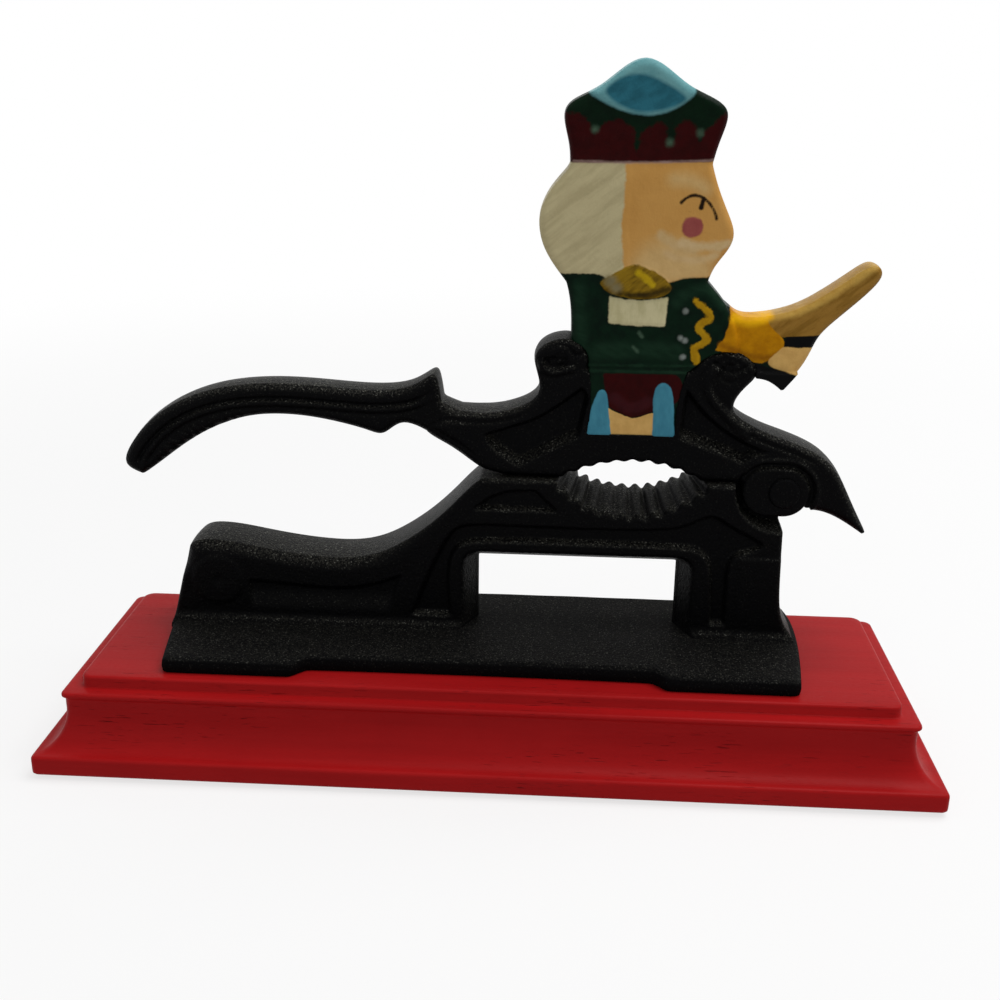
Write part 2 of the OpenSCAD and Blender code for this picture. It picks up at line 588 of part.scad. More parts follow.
module soldier_figure() {
    sink = 0.6;
    on_deck() {
        color(coat_green) difference() {
            union() {
                prism(soldier_front, soldier_rear) polygon(soldier_outline);
                prism(soldier_front + 1.6, soldier_rear - 1.6) polygon(arm_outline);
                prism(lever_front, lever_front + leg_seat_d) polygon(seat_strip());
                prism(lever_rear - leg_seat_d, lever_rear) polygon(seat_strip());
            }
            prism(soldier_front - over, soldier_rear + over) polygon(lever_outline);
        }
        soldier_legs();
        color(sky_blue) both_sides(soldier_front + sink) prism(0, sink + layer_t) polygon(crown_outline);
        color(gold) both_sides(soldier_front + sink)
            prism(0, sink + layer_t + 0.1) polygon(epaulette_outline);
        color(hair_grey) both_sides(soldier_front + sink)
            prism(0, sink + layer_t - 0.3) polygon(shirt_outline);
    }
}

// A strip over the seat that ties the legs to the body.
function seat_strip() = [[26.6, saddle_z], [26.6, saddle_z + 2.4], [53.4, saddle_z + 2.4], [53.4, saddle_z]];

wooden_base();
base_casting();
lever_casting();
soldier_figure();
hinge_rivet();
mounting_screws();
screw_washers();
felt_pad_front_left();
felt_pad_front_right();
felt_pad_rear_left();
felt_pad_rear_right();
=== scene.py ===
"""Looks of a lever nutcracker press with a toy soldier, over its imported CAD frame.

The two castings and the soldier are relief forms. Each is a height over a middle
plane, a function of the two coordinates of that plane, which numpy works out on a
grid; the grid is cut along the casting's outline and closed by a rounded rim.
Lengths in the classes are millimetres, and heights are counted from the top of the
wooden board unless a name says otherwise; the meshes are in metres.
"""

from __future__ import annotations

import logging
import math
from collections.abc import Callable, Sequence
from dataclasses import dataclass, field
from enum import Enum

import bpy
import numpy as np
from mathutils import Matrix, Vector

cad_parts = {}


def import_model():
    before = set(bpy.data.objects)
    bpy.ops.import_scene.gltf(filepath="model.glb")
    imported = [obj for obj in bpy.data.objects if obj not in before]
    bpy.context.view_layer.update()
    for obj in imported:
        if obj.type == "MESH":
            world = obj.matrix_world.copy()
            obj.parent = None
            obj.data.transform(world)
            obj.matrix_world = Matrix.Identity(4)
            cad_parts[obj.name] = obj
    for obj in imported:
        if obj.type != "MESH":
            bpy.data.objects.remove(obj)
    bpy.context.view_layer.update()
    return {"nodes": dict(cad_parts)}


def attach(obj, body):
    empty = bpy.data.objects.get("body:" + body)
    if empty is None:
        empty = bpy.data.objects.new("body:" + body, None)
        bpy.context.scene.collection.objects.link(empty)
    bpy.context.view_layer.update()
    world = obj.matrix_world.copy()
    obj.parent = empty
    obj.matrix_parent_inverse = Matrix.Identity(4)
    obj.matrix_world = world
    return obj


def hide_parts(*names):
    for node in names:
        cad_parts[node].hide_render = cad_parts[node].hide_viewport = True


LOG = logging.getLogger("nutcracker")

Array = np.ndarray
Pair = tuple[float, float]
Triple = tuple[float, float, float]
Colour = Triple
Control = Sequence[tuple[float, ...]]
Depth = Callable[[Array, Array], Array]
Face = Callable[[Array, Array, Array], Array]
Thing = bpy.types.Object
Material = bpy.types.Material

MM = 0.001
DECK = 26.6  # top of the wooden board
BOARD = 1.2  # underside of the wooden board
MIDDLE = 11.5  # the castings' middle plane, behind the board's middle line
# painted light: the way of the key lamp, which sets where the castings get their grey film
LAMP_WAY = (0.4, 0.0, 0.92)  # faces that look this way carry most of the grey film
BLOCK = 8192  # points measured against an outline in one go
TINY = 1e-12  # keeps a division from meeting zero


# ---- curves and fields -------------------------------------------------------


def smooth(value: Array, low: float, high: float) -> Array:
    """Smoothstep 3t^2 - 2t^3 of t = (value - low) / (high - low), held to 0..1."""
    t = np.clip((value - low) / (high - low), 0.0, 1.0)
    return t * t * (3.0 - 2.0 * t)


def quarter_round(depth: Array, radius: float) -> Array:
    """How far a rounded edge falls at a depth inside it: r - sqrt(r^2 - (r - d)^2)."""
    gap = radius - np.clip(depth, 0.0, radius)
    return radius - np.sqrt(np.maximum(radius * radius - gap * gap, 0.0))


def soft_min(a: Array, b: Array, width: float) -> Array:
    """Smaller of two heights, blended over width w: min - max(w - |a - b|, 0)^2 / 4w."""
    blend = np.maximum(width - np.abs(a - b), 0.0)
    return np.minimum(a, b) - blend * blend / (4.0 * width)


def ridge(distance: Array, width: float) -> Array:
    """A round bead across its middle line: exp(-(d / w)^2)."""
    return np.exp(-((distance / width) ** 2))


def spline(control: Control, steps: int = 5, closed: bool = True) -> Array:
    """Uniform cubic B-spline through weighted control points.

    p(t) = ((1-t)^3 a + (3t^3 - 6t^2 + 4) b + (-3t^3 + 3t^2 + 3t + 1) c + t^3 d) / 6.
    A third number in a control point repeats it, which draws the curve into a corner.

    Args:
        control: Points (x, z) or (x, z, weight).
        steps: Points for each span.
        closed: Whether the last span runs back to the first point.

    Returns:
        Points of shape (n, 2).
    """
    weights = [int(p[2]) if len(p) > 2 else 1 for p in control]
    base = np.repeat(np.array([p[:2] for p in control], float), weights, axis=0)
    if not closed:
        base = np.concatenate([base[:1], base[:1], base, base[-1:], base[-1:]])
    t = (np.arange(steps) / steps)[None, :, None]
    a, b, c, d = (np.roll(base, -k, axis=0)[:, None, :] for k in range(4))
    cubes = (1 - t) ** 3 * a + (3 * t**3 - 6 * t**2 + 4) * b
    points = (cubes + (-3 * t**3 + 3 * t**2 + 3 * t + 1) * c + t**3 * d) / 6.0
    if not closed:
        points = points[:-3]
    return points.reshape(-1, 2)


@dataclass
class Outline:
    """A polyline in the plane of a casting, open or closed."""

    points: Array
    closed: bool = True

    @classmethod
    def curve(cls, control: Control, steps: int = 5, closed: bool = True) -> Outline:
        """An outline along the spline of its control points."""
        return cls(spline(control, steps, closed), closed)

    def distance(self, x: Array, z: Array) -> Array:
        """Distance to the nearest edge a + t e, t = clip((p - a) . e / e . e, 0, 1)."""
        return self._measure(x, z)[0]

    def depth(self, x: Array, z: Array) -> Array:
        """Distance to the nearest edge, positive inside by the even-odd rule."""
        distance, inside = self._measure(x, z)
        return np.where(inside, distance, -distance)

    def _measure(self, x: Array, z: Array) -> tuple[Array, Array]:
        """Distance to the outline, and whether each point lies inside it."""
        start = self.points if self.closed else self.points[:-1]
        end = np.roll(self.points, -1, axis=0) if self.closed else self.points[1:]
        edge = end - start
        square = np.maximum((edge**2).sum(1), TINY)
        slope = edge[:, 0] / np.where(edge[:, 1] == 0, TINY, edge[:, 1])
        flat = np.stack([np.ravel(x), np.ravel(z)], 1)
        distance = np.empty(len(flat))
        inside = np.empty(len(flat), bool)
        for low in range(0, len(flat), BLOCK):
            block = slice(low, low + BLOCK)
            p = flat[block, None, :]
            gap = p - start
            t = np.clip((gap * edge).sum(2) / square, 0.0, 1.0)
            near = gap - t[..., None] * edge
            distance[block] = np.sqrt((near**2).sum(2).min(1))
            spans = (start[:, 1] > p[..., 1]) != (end[:, 1] > p[..., 1])
            left = p[..., 0] < start[:, 0] + gap[..., 1] * slope
            inside[block] = (spans & left).sum(1) % 2 == 1
        return distance.reshape(np.shape(x)), inside.reshape(np.shape(x))


def capsule(x: Array, z: Array, a: Pair, b: Pair) -> Array:
    """Distance to the line from a to b."""
    return Outline(np.array([a, b], float), closed=False).distance(x, z)


def spiral_ridge(x: Array, z: Array, centre: Pair, start: float, turn: int) -> Array:
    """A bead along the spiral r = pitch (a + k + 1/4), a the angle from start in turns.

    Args:
        x: Place along the casting.
        z: Height.
        centre: The spiral's middle.
        start: Angle at which it begins, in degrees.
        turn: 1 to run anticlockwise, -1 to run clockwise.

    Returns:
        The bead's height, from 0 to 1.
    """
    pitch, turns, width, fade = 2.6, 1.7, 0.5, 0.12
    gx, gz = x - centre[0], z - centre[1]
    r = np.hypot(gx, gz)
    a = np.mod(turn * (np.arctan2(gz, gx) - math.radians(start)) / (2 * math.pi), 1.0)
    height = np.zeros_like(r)
    for k in range(math.ceil(turns)):
        along = a + k
        bead = ridge(r - pitch * (along + 0.25), width) * smooth(turns - along, 0.0, fade)
        height = np.maximum(height, bead)
    return height


# ---- meshes ------------------------------------------------------------------


@dataclass
class Shell:
    """Points in millimetres and faces of a closed skin."""

    points: Array
    faces: list[list[int]]

    def __add__(self, other: Shell) -> Shell:
        """Both skins in one."""
        shift = len(self.points)
        moved = [[i + shift for i in f] for f in other.faces]
        return Shell(np.concatenate([self.points, other.points]), self.faces + moved)

    def mesh(self, name: str, paint: Material, crease: float | None = None) -> Thing:
        """A Blender object at the origin that holds this skin.

        Args:
            name: Its name.
            paint: Its material.
            crease: Angle in degrees past which an edge is sharp; None leaves all smooth.

        Returns:
            The object.
        """
        data = bpy.data.meshes.new(name)
        data.from_pydata((self.points * MM).tolist(), [], self.faces)
        data.polygons.foreach_set("use_smooth", np.ones(len(data.polygons), bool))
        data.update()
        if crease is not None:
            data.set_sharp_from_angle(angle=math.radians(crease))
        data.materials.append(paint)
        return link(name, data)


def link(name: str, data: bpy.types.ID) -> Thing:
    """A new object in the scene that shows some data."""
    thing = bpy.data.objects.new(name, data)
    bpy.context.scene.collection.objects.link(thing)
    return thing


def paint_fields(thing: Thing, fields: dict[str, Array]) -> None:
    """Stores each field as a number on every vertex."""
    for name, values in fields.items():
        layer = thing.data.attributes.new(name, "FLOAT", "POINT")
        layer.data.foreach_set("value", np.ascontiguousarray(values, np.float32))


def lamp_facing(thing: Thing) -> Array:
    """How far each vertex faces the key lamp, and so how much painted light it carries: the
    product of its unit normal and the lamp's way set above.
    """
    normals = np.empty(3 * len(thing.data.vertices), np.float32)
    thing.data.vertex_normals.foreach_get("vector", normals)
    return normals.reshape(-1, 3) @ np.array(LAMP_WAY, np.float32)


def loft(rings: Array) -> Shell:
    """A skin through closed rings, rings[k, i], with both ends closed.

    Faces join point i of ring k to point i + 1 of ring k + 1. A ring runs anticlockwise
    when seen from the side that the next ring lies on.
    """
    count, size = rings.shape[:2]
    k, i = np.meshgrid(np.arange(count - 1), np.arange(size), indexing="ij")
    j = (i + 1) % size
    walls = np.stack([k * size + i, k * size + j, (k + 1) * size + j, (k + 1) * size + i], -1)
    faces = walls.reshape(-1, 4).tolist()
    faces.append(list(range(size - 1, -1, -1)))
    faces.append([(count - 1) * size + n for n in range(size)])
    return Shell(rings.reshape(-1, 3), faces)


def rounded_box(half_x: float, half_y: float, radius: float, arc: int) -> Array:
    """A rounded rectangle, anticlockwise: corner centre + r (cos a, sin a)."""
    a = np.linspace(0.0, math.pi / 2, arc)
    corners = [(1, 1), (-1, 1), (-1, -1), (1, -1)]
    parts = []
    for k, (sx, sy) in enumerate(corners):
        turn = a + k * math.pi / 2
        parts.append(np.stack([sx * (half_x - radius) + radius * np.cos(turn),
                               sy * (half_y - radius) + radius * np.sin(turn)], 1))
    return np.concatenate(parts)


class Plane(Enum):
    """Which way a relief form's middle plane lies."""

    UPRIGHT = "upright"
    FLAT = "flat"


@dataclass
class ReliefForm:
    """Two relief faces over one grid, cut along an outline and joined by a rounded rim.

    A face is w = front(u, v, depth) or w = back(u, v, depth), where depth(u, v) is how
    deep a point lies inside the outline. Grid nodes are kept where depth > lip. The
    outermost ones slide along the gradient g of depth until depth = lip:
    p <- p - g (depth - lip) / |g|^2. From there rings follow the quarter circle
    d = r (1 - sin a), fall = r (1 - cos a), and the wall between them swells by draft.
    """

    depth: Depth
    front: Face
    back: Face
    low: Pair
    high: Pair
    step: float = 0.45
    radius: float = 1.3
    lip: float = 0.35
    draft: float = 0.3
    rim_rings: int = 3
    wall_rings: int = 3
    rounds: int = 3
    thin: float = 0.3
    waist: float = 0.05
    plane: Plane = Plane.UPRIGHT

    def gradient(self, p: Array) -> Array:
        """Gradient of depth at points p, by central differences over 0.04 mm."""
        e = 0.02
        gu = self.depth(p[:, 0] + e, p[:, 1]) - self.depth(p[:, 0] - e, p[:, 1])
        gv = self.depth(p[:, 0], p[:, 1] + e) - self.depth(p[:, 0], p[:, 1] - e)
        return np.stack([gu, gv], 1) / (2 * e)

    def settle(self, p: Array, rounds: int) -> Array:
        """Moves points onto the line depth = lip."""
        for _ in range(rounds):
            g = self.gradient(p)
            move = g * ((self.depth(p[:, 0], p[:, 1]) - self.lip)
                        / np.maximum((g**2).sum(1), 0.3))[:, None]
            size = np.maximum(np.hypot(move[:, 0], move[:, 1]), 1e-9)[:, None]
            p = p - move * np.minimum(1.0, self.step / size)
        return p

    def grid(self) -> tuple[Array, Array, Array, Array]:
        """Nodes, quads and the directed rim edges of the cut grid."""
        us = np.arange(self.low[0], self.high[0] + self.step, self.step)
        vs = np.arange(self.low[1], self.high[1] + self.step, self.step)
        place = np.stack(np.meshgrid(us, vs, indexing="ij"), -1)
        level = self.depth(place[..., 0], place[..., 1]) - self.lip
        keep = level[:-1, :-1] + level[1:, :-1] + level[:-1, 1:] + level[1:, 1:] > 0
        for _ in range(self.rounds):
            a, b, c, d = keep[:-1, :-1], keep[1:, :-1], keep[:-1, 1:], keep[1:, 1:]
            b |= a & d & ~b & ~c
            a |= b & c & ~a & ~d
        pad = np.pad(keep, 1).astype(int)
        around = pad[:-1, :-1] + pad[1:, :-1] + pad[:-1, 1:] + pad[1:, 1:]
        used = around > 0
        index = np.full(used.shape, -1)
        index[used] = np.arange(used.sum())
        i, j = np.nonzero(keep)
        quads = np.stack([index[i, j], index[i + 1, j], index[i + 1, j + 1], index[i, j + 1]], 1)
        p, level = place[used], level[used]
        heads, tails = quads.ravel(), np.roll(quads, -1, axis=1).ravel()
        count = len(p)
        rim = ~np.isin(heads * count + tails, tails * count + heads)
        rim_a, rim_b = heads[rim], tails[rim]
        on_rim = np.zeros(count, bool)
        on_rim[rim_a] = True
        inner = ~on_rim & (level < 3 * self.step)
        p[on_rim] = self.settle(p[on_rim], self.rounds)
        for _ in range(self.rounds):
            both = np.concatenate([rim_a, rim_b]), np.concatenate([rim_b, rim_a])
            p[on_rim] = 0.5 * p[on_rim] + 0.5 * self._average(p, *both)[on_rim]
            p[on_rim] = self.settle(p[on_rim], 1)
            p[inner] = self._average(p, heads, tails)[inner]
        p[on_rim] = self.settle(p[on_rim], 2)
        return p, quads, rim_a, rim_b

    @staticmethod
    def _average(p: Array, a: Array, b: Array) -> Array:
        """Mean place of each node's neighbours, over the edges a -> b."""
        count = np.maximum(np.bincount(a, minlength=len(p)), 1)
        return np.stack([np.bincount(a, p[b, k], len(p)) / count for k in (0, 1)], 1)

    def build(self) -> Shell:
        """The closed skin of the form."""
        p, quads, rim_a, rim_b = self.grid()
        count = len(p)
        depth = self.depth(p[:, 0], p[:, 1])
        front = self.front(p[:, 0], p[:, 1], depth)
        back = self.back(p[:, 0], p[:, 1], depth)
        back = np.maximum(back, front + self.thin)
        layers = [np.column_stack([p, front]), np.column_stack([p, back])]
        rim = np.unique(rim_a)
        rank = np.full(count, -1)
        rank[rim] = np.arange(len(rim))
        g = self.gradient(p[rim])
        out = -g / np.maximum(np.hypot(g[:, 0], g[:, 1]), 1e-6)[:, None]
        middle = (front[rim] + back[rim]) / 2
        first = math.asin(1 - self.lip / self.radius)
        chain = [rim]
        total = 2 * count

        def ring(reach: float, w: Array) -> None:
            """Adds a ring that stands out from the rim by reach, at heights w."""
            nonlocal total
            layers.append(np.column_stack([p[rim] + out * reach, w]))
            chain.append(total + np.arange(len(rim)))
            total += len(rim)

        angles = np.linspace(first, math.pi / 2, self.rim_rings + 1)[1:]
        falls = self.radius * (math.cos(first) - np.cos(angles))
        reaches = self.lip - self.radius * (1 - np.sin(angles))
        for fall, reach in zip(falls, reaches):
            ring(reach, np.minimum(front[rim] + fall, middle - self.waist))
        low = np.minimum(front[rim] + falls[-1], middle - self.waist)
        high = np.maximum(back[rim] - falls[-1], middle + self.waist)
        for t in (np.arange(self.wall_rings) + 1) / (self.wall_rings + 1):
            ring(self.lip + self.draft * math.sin(math.pi * t), low + (high - low) * t)
        for fall, reach in zip(falls[::-1], reaches[::-1]):
            ring(reach, np.maximum(back[rim] - fall, middle + self.waist))
        chain.append(rim + count)
        a, b = rank[rim_a], rank[rim_b]
        faces = [quads, quads[:, ::-1] + count]
        for this, following in zip(chain[:-1], chain[1:]):
            faces.append(np.stack([this[b], this[a], following[a], following[b]], 1))
        points = np.concatenate(layers)
        u, v, w = points.T
        placed = np.column_stack([u, w, v] if self.plane is Plane.UPRIGHT else [u, v, -w])
        return Shell(placed, np.concatenate(faces).tolist())


# ---- shader graphs -----------------------------------------------------------


class Wire:
    """A socket with Python's operators for values."""

    def __init__(self, graph: Graph, socket: bpy.types.NodeSocket) -> None:
        """Keeps the graph, so that an operator can add its node there."""
        self.graph = graph
        self.socket = socket

    def math(self, operation: str, other: Wire | float) -> Wire:
        """This value and another through one Math node."""
        return self.graph.node("ShaderNodeMath", {"operation": operation}, self, other)

    def __add__(self, other: Wire | float) -> Wire:
        """self + other."""
        return self.math("ADD", other)

    __radd__ = __add__

    def __sub__(self, other: Wire | float) -> Wire:
        """self - other."""
        return self.math("SUBTRACT", other)

    def __mul__(self, other: Wire | float) -> Wire:
        """self * other."""
        return self.math("MULTIPLY", other)

    __rmul__ = __mul__

    def most(self, other: Wire | float) -> Wire:
        """The larger of the two."""
        return self.math("MAXIMUM", other)

    def step(self, low: float, high: float) -> Wire:
        """Smoothstep from 0 at low to 1 at high."""
        settings = {"interpolation_type": "SMOOTHSTEP"}
        return self.graph.node("ShaderNodeMapRange", settings, self, low, high, 0.0, 1.0)


class Graph:
    """A material or the world's surround under construction."""

    def __init__(self, name: str, world: bool = False) -> None:
        """Starts it empty, with its output node."""
        self.owner = bpy.data.worlds.new(name) if world else bpy.data.materials.new(name)
        self.owner.use_nodes = True
        self.tree = self.owner.node_tree
        self.tree.nodes.clear()
        kind = "ShaderNodeOutputWorld" if world else "ShaderNodeOutputMaterial"
        self.output = self.tree.nodes.new(kind)

    def node(self, kind: str, settings: dict | None = None, *inputs: Wire | float | tuple,
             out: int | str = 0, **named: Wire | float | tuple) -> Wire:
        """Adds a node.

        Args:
            kind: The node's Blender type.
            settings: Its properties, set first.
            inputs: Values or links of its first sockets, in order; None skips one.
            out: The output socket to return.
            named: Values or links of sockets by name, with _ for a space.

        Returns:
            The output as a Wire.
        """
        node = self.tree.nodes.new(kind)
        for key, value in (settings or {}).items():
            setattr(node, key, value)
        pairs = [(i, v) for i, v in enumerate(inputs) if v is not None]
        pairs += [(k.replace("_", " "), v) for k, v in named.items()]
        for key, value in pairs:
            self.plug(node.inputs[key], value)
        return Wire(self, node.outputs[out])

    def plug(self, socket: bpy.types.NodeSocket, value: Wire | float | tuple) -> None:
        """Links a Wire to a socket, or sets the socket's own value."""
        if isinstance(value, Wire):
            self.tree.links.new(value.socket, socket)
        elif isinstance(value, tuple) and len(value) == 3 and socket.type == "RGBA":
            socket.default_value = (*value, 1.0)
        else:
            socket.default_value = value

    def place(self, scale: Triple = (1, 1, 1), turn: Triple = (0, 0, 0)) -> Wire:
        """Object coordinates, turned and scaled."""
        here = self.node("ShaderNodeTexCoord", out="Object")
        if scale == (1, 1, 1) and turn == (0, 0, 0):
            return here
        shrink = tuple(1.0 / s for s in scale)
        return self.node("ShaderNodeMapping", {"vector_type": "TEXTURE"}, here, None, turn, shrink)

    def noise(self, scale: float, detail: float = 2.0, rough: float = 0.5,
              stretch: Triple = (1, 1, 1), turn: Triple = (0, 0, 0)) -> Wire:
        """Fractal noise of about scale cells to the metre."""
        return self.node("ShaderNodeTexNoise", {}, self.place(stretch, turn), Scale=scale,
                         Detail=detail, Roughness=rough)

    def cells(self, scale: float) -> Wire:
        """Distance to the nearest of scattered points."""
        return self.node("ShaderNodeTexVoronoi", {}, self.place(), Scale=scale)

    def field(self, name: str) -> Wire:
        """A number stored on the vertices."""
        settings = {"attribute_type": "GEOMETRY", "attribute_name": name}
        return self.node("ShaderNodeAttribute", settings, out="Fac")

    def blend(self, factor: Wire | float, a: Wire | Colour, b: Wire | Colour) -> Wire:
        """Colour a where factor is 0 and b where it is 1."""
        node = self.tree.nodes.new("ShaderNodeMix")
        node.data_type = "RGBA"
        for slot, value in ((0, factor), (6, a), (7, b)):  # the colour sockets of a Mix node
            self.plug(node.inputs[slot], value)
        return Wire(self, node.outputs[2])

    def bump(self, height: Wire, strength: float, distance: float,
             under: Wire | None = None) -> Wire:
        """A normal that height lifts by distance, over another bump."""
        named = {"Height": height} if under is None else {"Height": height, "Normal": under}
        return self.node("ShaderNodeBump", {}, strength, distance, **named)

    def principled(self, colour: Wire | Colour, roughness: Wire | float,
                   normal: Wire | None = None, **constants: float) -> Wire:
        """A Principled shader; its constants are named by socket, with _ for a space."""
        shader = self.tree.nodes.new("ShaderNodeBsdfPrincipled")
        self.plug(shader.inputs["Base Color"], colour)
        self.plug(shader.inputs["Roughness"], roughness)
        if normal is not None:
            self.plug(shader.inputs["Normal"], normal)
        for key, value in constants.items():
            shader.inputs[key.replace("_", " ")].default_value = value
        return Wire(self, shader.outputs[0])

    def seen(self) -> Wire:
        """1 for what the camera sees, straight or by way of gloss or glass, 0 for light."""
        camera, gloss, glass = (self.node("ShaderNodeLightPath", out=f"Is {ray} Ray")
                                for ray in ("Camera", "Glossy", "Transmission"))
        return camera.most(gloss).most(glass)

    def close(self, shader: Wire) -> Material | bpy.types.World:
        """Ends the graph in a shader and returns what it belongs to."""
        self.tree.links.new(shader.socket, self.output.inputs[0])
        return self.owner

    def finish(self, colour: Wire | Colour, roughness: Wire | float, normal: Wire | None = None,
               **constants: float) -> Material:
        """Ends the graph in a Principled shader and returns the material."""
        return self.close(self.principled(colour, roughness, normal, **constants))


# ---- finishes ----------------------------------------------------------------


@dataclass(frozen=True)
class CastEnamel:
    """Black enamel over a sand casting, with a broken grey film and glints painted as light on
    faces that look up and towards the key lamp.
    """

    colour: Colour = (0.0013, 0.0013, 0.0016)
    # painted light: the grey film laid on faces that look towards the key lamp
    film: Colour = (0.036, 0.035, 0.029)
    # painted glints among the sand's specks, mostly where the key lamp falls
    painted_glint: Colour = (0.30, 0.30, 0.26)
    roughness: float = 0.40
    grain: float = 1700.0

    def material(self) -> Material:
        """The finish as a material.

        The stored field gives how far a point faces the key lamp, and so how much painted light it
        carries as a grey film and glints; "matt" says where it is dull.
        """
        g = Graph("black_cast_enamel")
        sand = g.noise(self.grain, 3.0, 0.65)
        lumps = g.noise(self.grain * 0.4, 2.0, 0.5)
        pits = g.cells(self.grain * 0.6).step(0.05, 0.35)
        glint_speck = g.noise(self.grain * 1.2, 1.0, 0.5).step(0.62, 0.72)
        worn = g.field("worn").step(0.1, 0.9)
        # painted light: a broken grey film, strongest on faces towards the key lamp
        colour = g.blend(worn * sand.step(0.44, 0.62) * 0.8, self.colour, self.film)
        # painted glints: specks, mostly on faces towards the key lamp
        colour = g.blend(glint_speck * (worn * 0.45 + 0.03), colour, self.painted_glint)
        rough = self.roughness + (sand - 0.5) * 0.3 + g.field("matt") * 0.3
        normal = g.bump(lumps, 0.3, 0.0006)
        normal = g.bump(sand * 0.7 + pits * 0.3, 0.8, 0.0004, normal)
        return g.finish(colour, rough, normal, Specular_IOR_Level=0.03)


@dataclass(frozen=True)
class RedWoodPaint:
    """Red enamel on open-grained wood: the pores show as short dark marks."""

    colour: Colour = (0.40, 0.009, 0.010)
    shade: Colour = (0.29, 0.005, 0.006)
    pore: Colour = (0.10, 0.002, 0.003)
    roughness: float = 0.42

    def material(self) -> Material:
        """The finish as a material."""
        g = Graph("red_wood_paint")
        grain = g.noise(22.0, 5.0, 0.6, (0.5, 9.0, 9.0))
        flakes = g.noise(210.0, 2.0, 0.5, (0.6, 9.0, 9.0))
        fibres = g.noise(420.0, 1.0, 0.5, (0.4, 6.5, 6.5))
        places = g.noise(26.0, 2.0, 0.5, (0.6, 2.0, 2.0)).step(0.48, 0.6)
        pores = flakes.step(0.665, 0.71).most(fibres.step(0.7, 0.74) * 0.8) * places
        mottle = g.noise(60.0, 3.0, 0.55).step(0.35, 0.7)
        colour = g.blend(grain.step(0.3, 0.75) * 0.5, self.colour, self.shade)
        colour = g.blend(mottle * 0.18, colour, self.shade)
        colour = g.blend(pores * 0.75, colour, self.pore)
        fine = g.noise(900.0, 2.0, 0.5)
        rough = self.roughness + (fine - 0.5) * 0.2 + pores * 0.2
        normal = g.bump(grain * 0.5 - pores, 0.35, 0.0004)
        normal = g.bump(fine, 0.12, 0.0002, normal)
        return g.finish(colour, rough, normal, Specular_IOR_Level=0.06)


@dataclass(frozen=True)
class Enamel:
    """One brushed colour on the soldier, also used for its painted highlights and painted shade.

    Attributes:
        colour: Where the paint is full.
        shade: Where the brush left it thin or dark.
        streak: Stretch of the brush marks along x, y and z.
        turn: Turn of the brush marks about y, in degrees.
        amount: How strongly the marks show.
    """

    colour: Colour
    shade: Colour
    streak: Triple = (1.0, 1.0, 1.0)
    turn: float = 0.0
    amount: float = 0.6

    def paint(self, g: Graph) -> Wire:
        """The colour with its brush marks."""
        turn = (0.0, math.radians(self.turn), 0.0)
        marks = g.noise(260.0, 3.0, 0.6, self.streak, turn).step(0.36, 0.68)
        return g.blend(marks * self.amount, self.colour, self.shade)


@dataclass(frozen=True)
class Felt:
    """Short green felt."""

    colour: Colour = (0.03, 0.09, 0.05)
    shade: Colour = (0.015, 0.05, 0.03)

    def material(self) -> Material:
        """The finish as a material."""
        g = Graph("green_felt")
        hair = g.noise(2600.0, 4.0, 0.7)
        colour = g.blend(hair.step(0.35, 0.7), self.shade, self.colour)
        return g.finish(colour, 0.95, g.bump(hair, 0.8, 0.0003), Sheen_Weight=0.4)


@dataclass(frozen=True)
class PlatedSteel:
    """Zinc-plated steel with faint turning marks."""

    colour: Colour = (0.62, 0.62, 0.6)
    shade: Colour = (0.42, 0.41, 0.38)

    def material(self) -> Material:
        """The finish as a material."""
        g = Graph("plated_steel")
        bloom = g.noise(700.0, 4.0, 0.6)
        colour = g.blend(bloom.step(0.35, 0.7), self.colour, self.shade)
        return g.finish(colour, 0.3 + bloom * 0.2, g.bump(bloom, 0.15, 0.0001), Metallic=1.0)


# ---- the press ---------------------------------------------------------------


@dataclass
class Hinge:
    """The lap hinge, shared by both castings."""

    x: float = 83.2
    z: float = 49.6
    reach: float = 4.6
    ear: float = 7.3
    groove: float = 1.6
    base_ear: float = 7.9
    cradle: float = 12.7
    lap: float = 0.2

    def ear_distance(self, x: Array, z: Array) -> Array:
        """Distance from the middle line of the lever's oval ear."""
        return capsule(x, z, (self.x - self.reach, self.z), (self.x, self.z))

    def pin_distance(self, x: Array, z: Array) -> Array:
        """Distance from the rivet's axis."""
        return np.hypot(x - self.x, z - self.z)


@dataclass(frozen=True)
class Jaw:
    """A scalloped arc: its chord, the height of its ends, its depth, its flutes and bite."""

    width: float
    z: float
    deep: float
    flutes: int
    bite: float

    @property
    def radius(self) -> float:
        """Radius of the arc: (w^2 / 4 + d^2) / 2d."""
        return ((self.width / 2) ** 2 + self.deep**2) / (2 * self.deep)

    def metal(self, x: Array, up: Array) -> Array:
        """Distance outside the arc, positive in the jaw's metal.

        The radius is r + b sin^2(pi n (a + h) / 2h) for the angle a from the arc's middle,
        its half angle h and n flutes, whose bite b varies a little: b (1 + 0.2 sin 9a).

        Args:
            x: Place along the jaw, from its middle.
            up: Height from the arc's centre, counted towards the arc's middle.

        Returns:
            The distance.
        """
        half = math.asin(self.width / 2 / self.radius)
        a = np.arctan2(x, up)
        wave = np.sin(math.pi * self.flutes * (a + half) / (2 * half)) ** 2 * (np.abs(a) < half)
        return np.hypot(x, up) - self.radius - self.bite * wave * (1 + 0.2 * np.sin(9 * a))


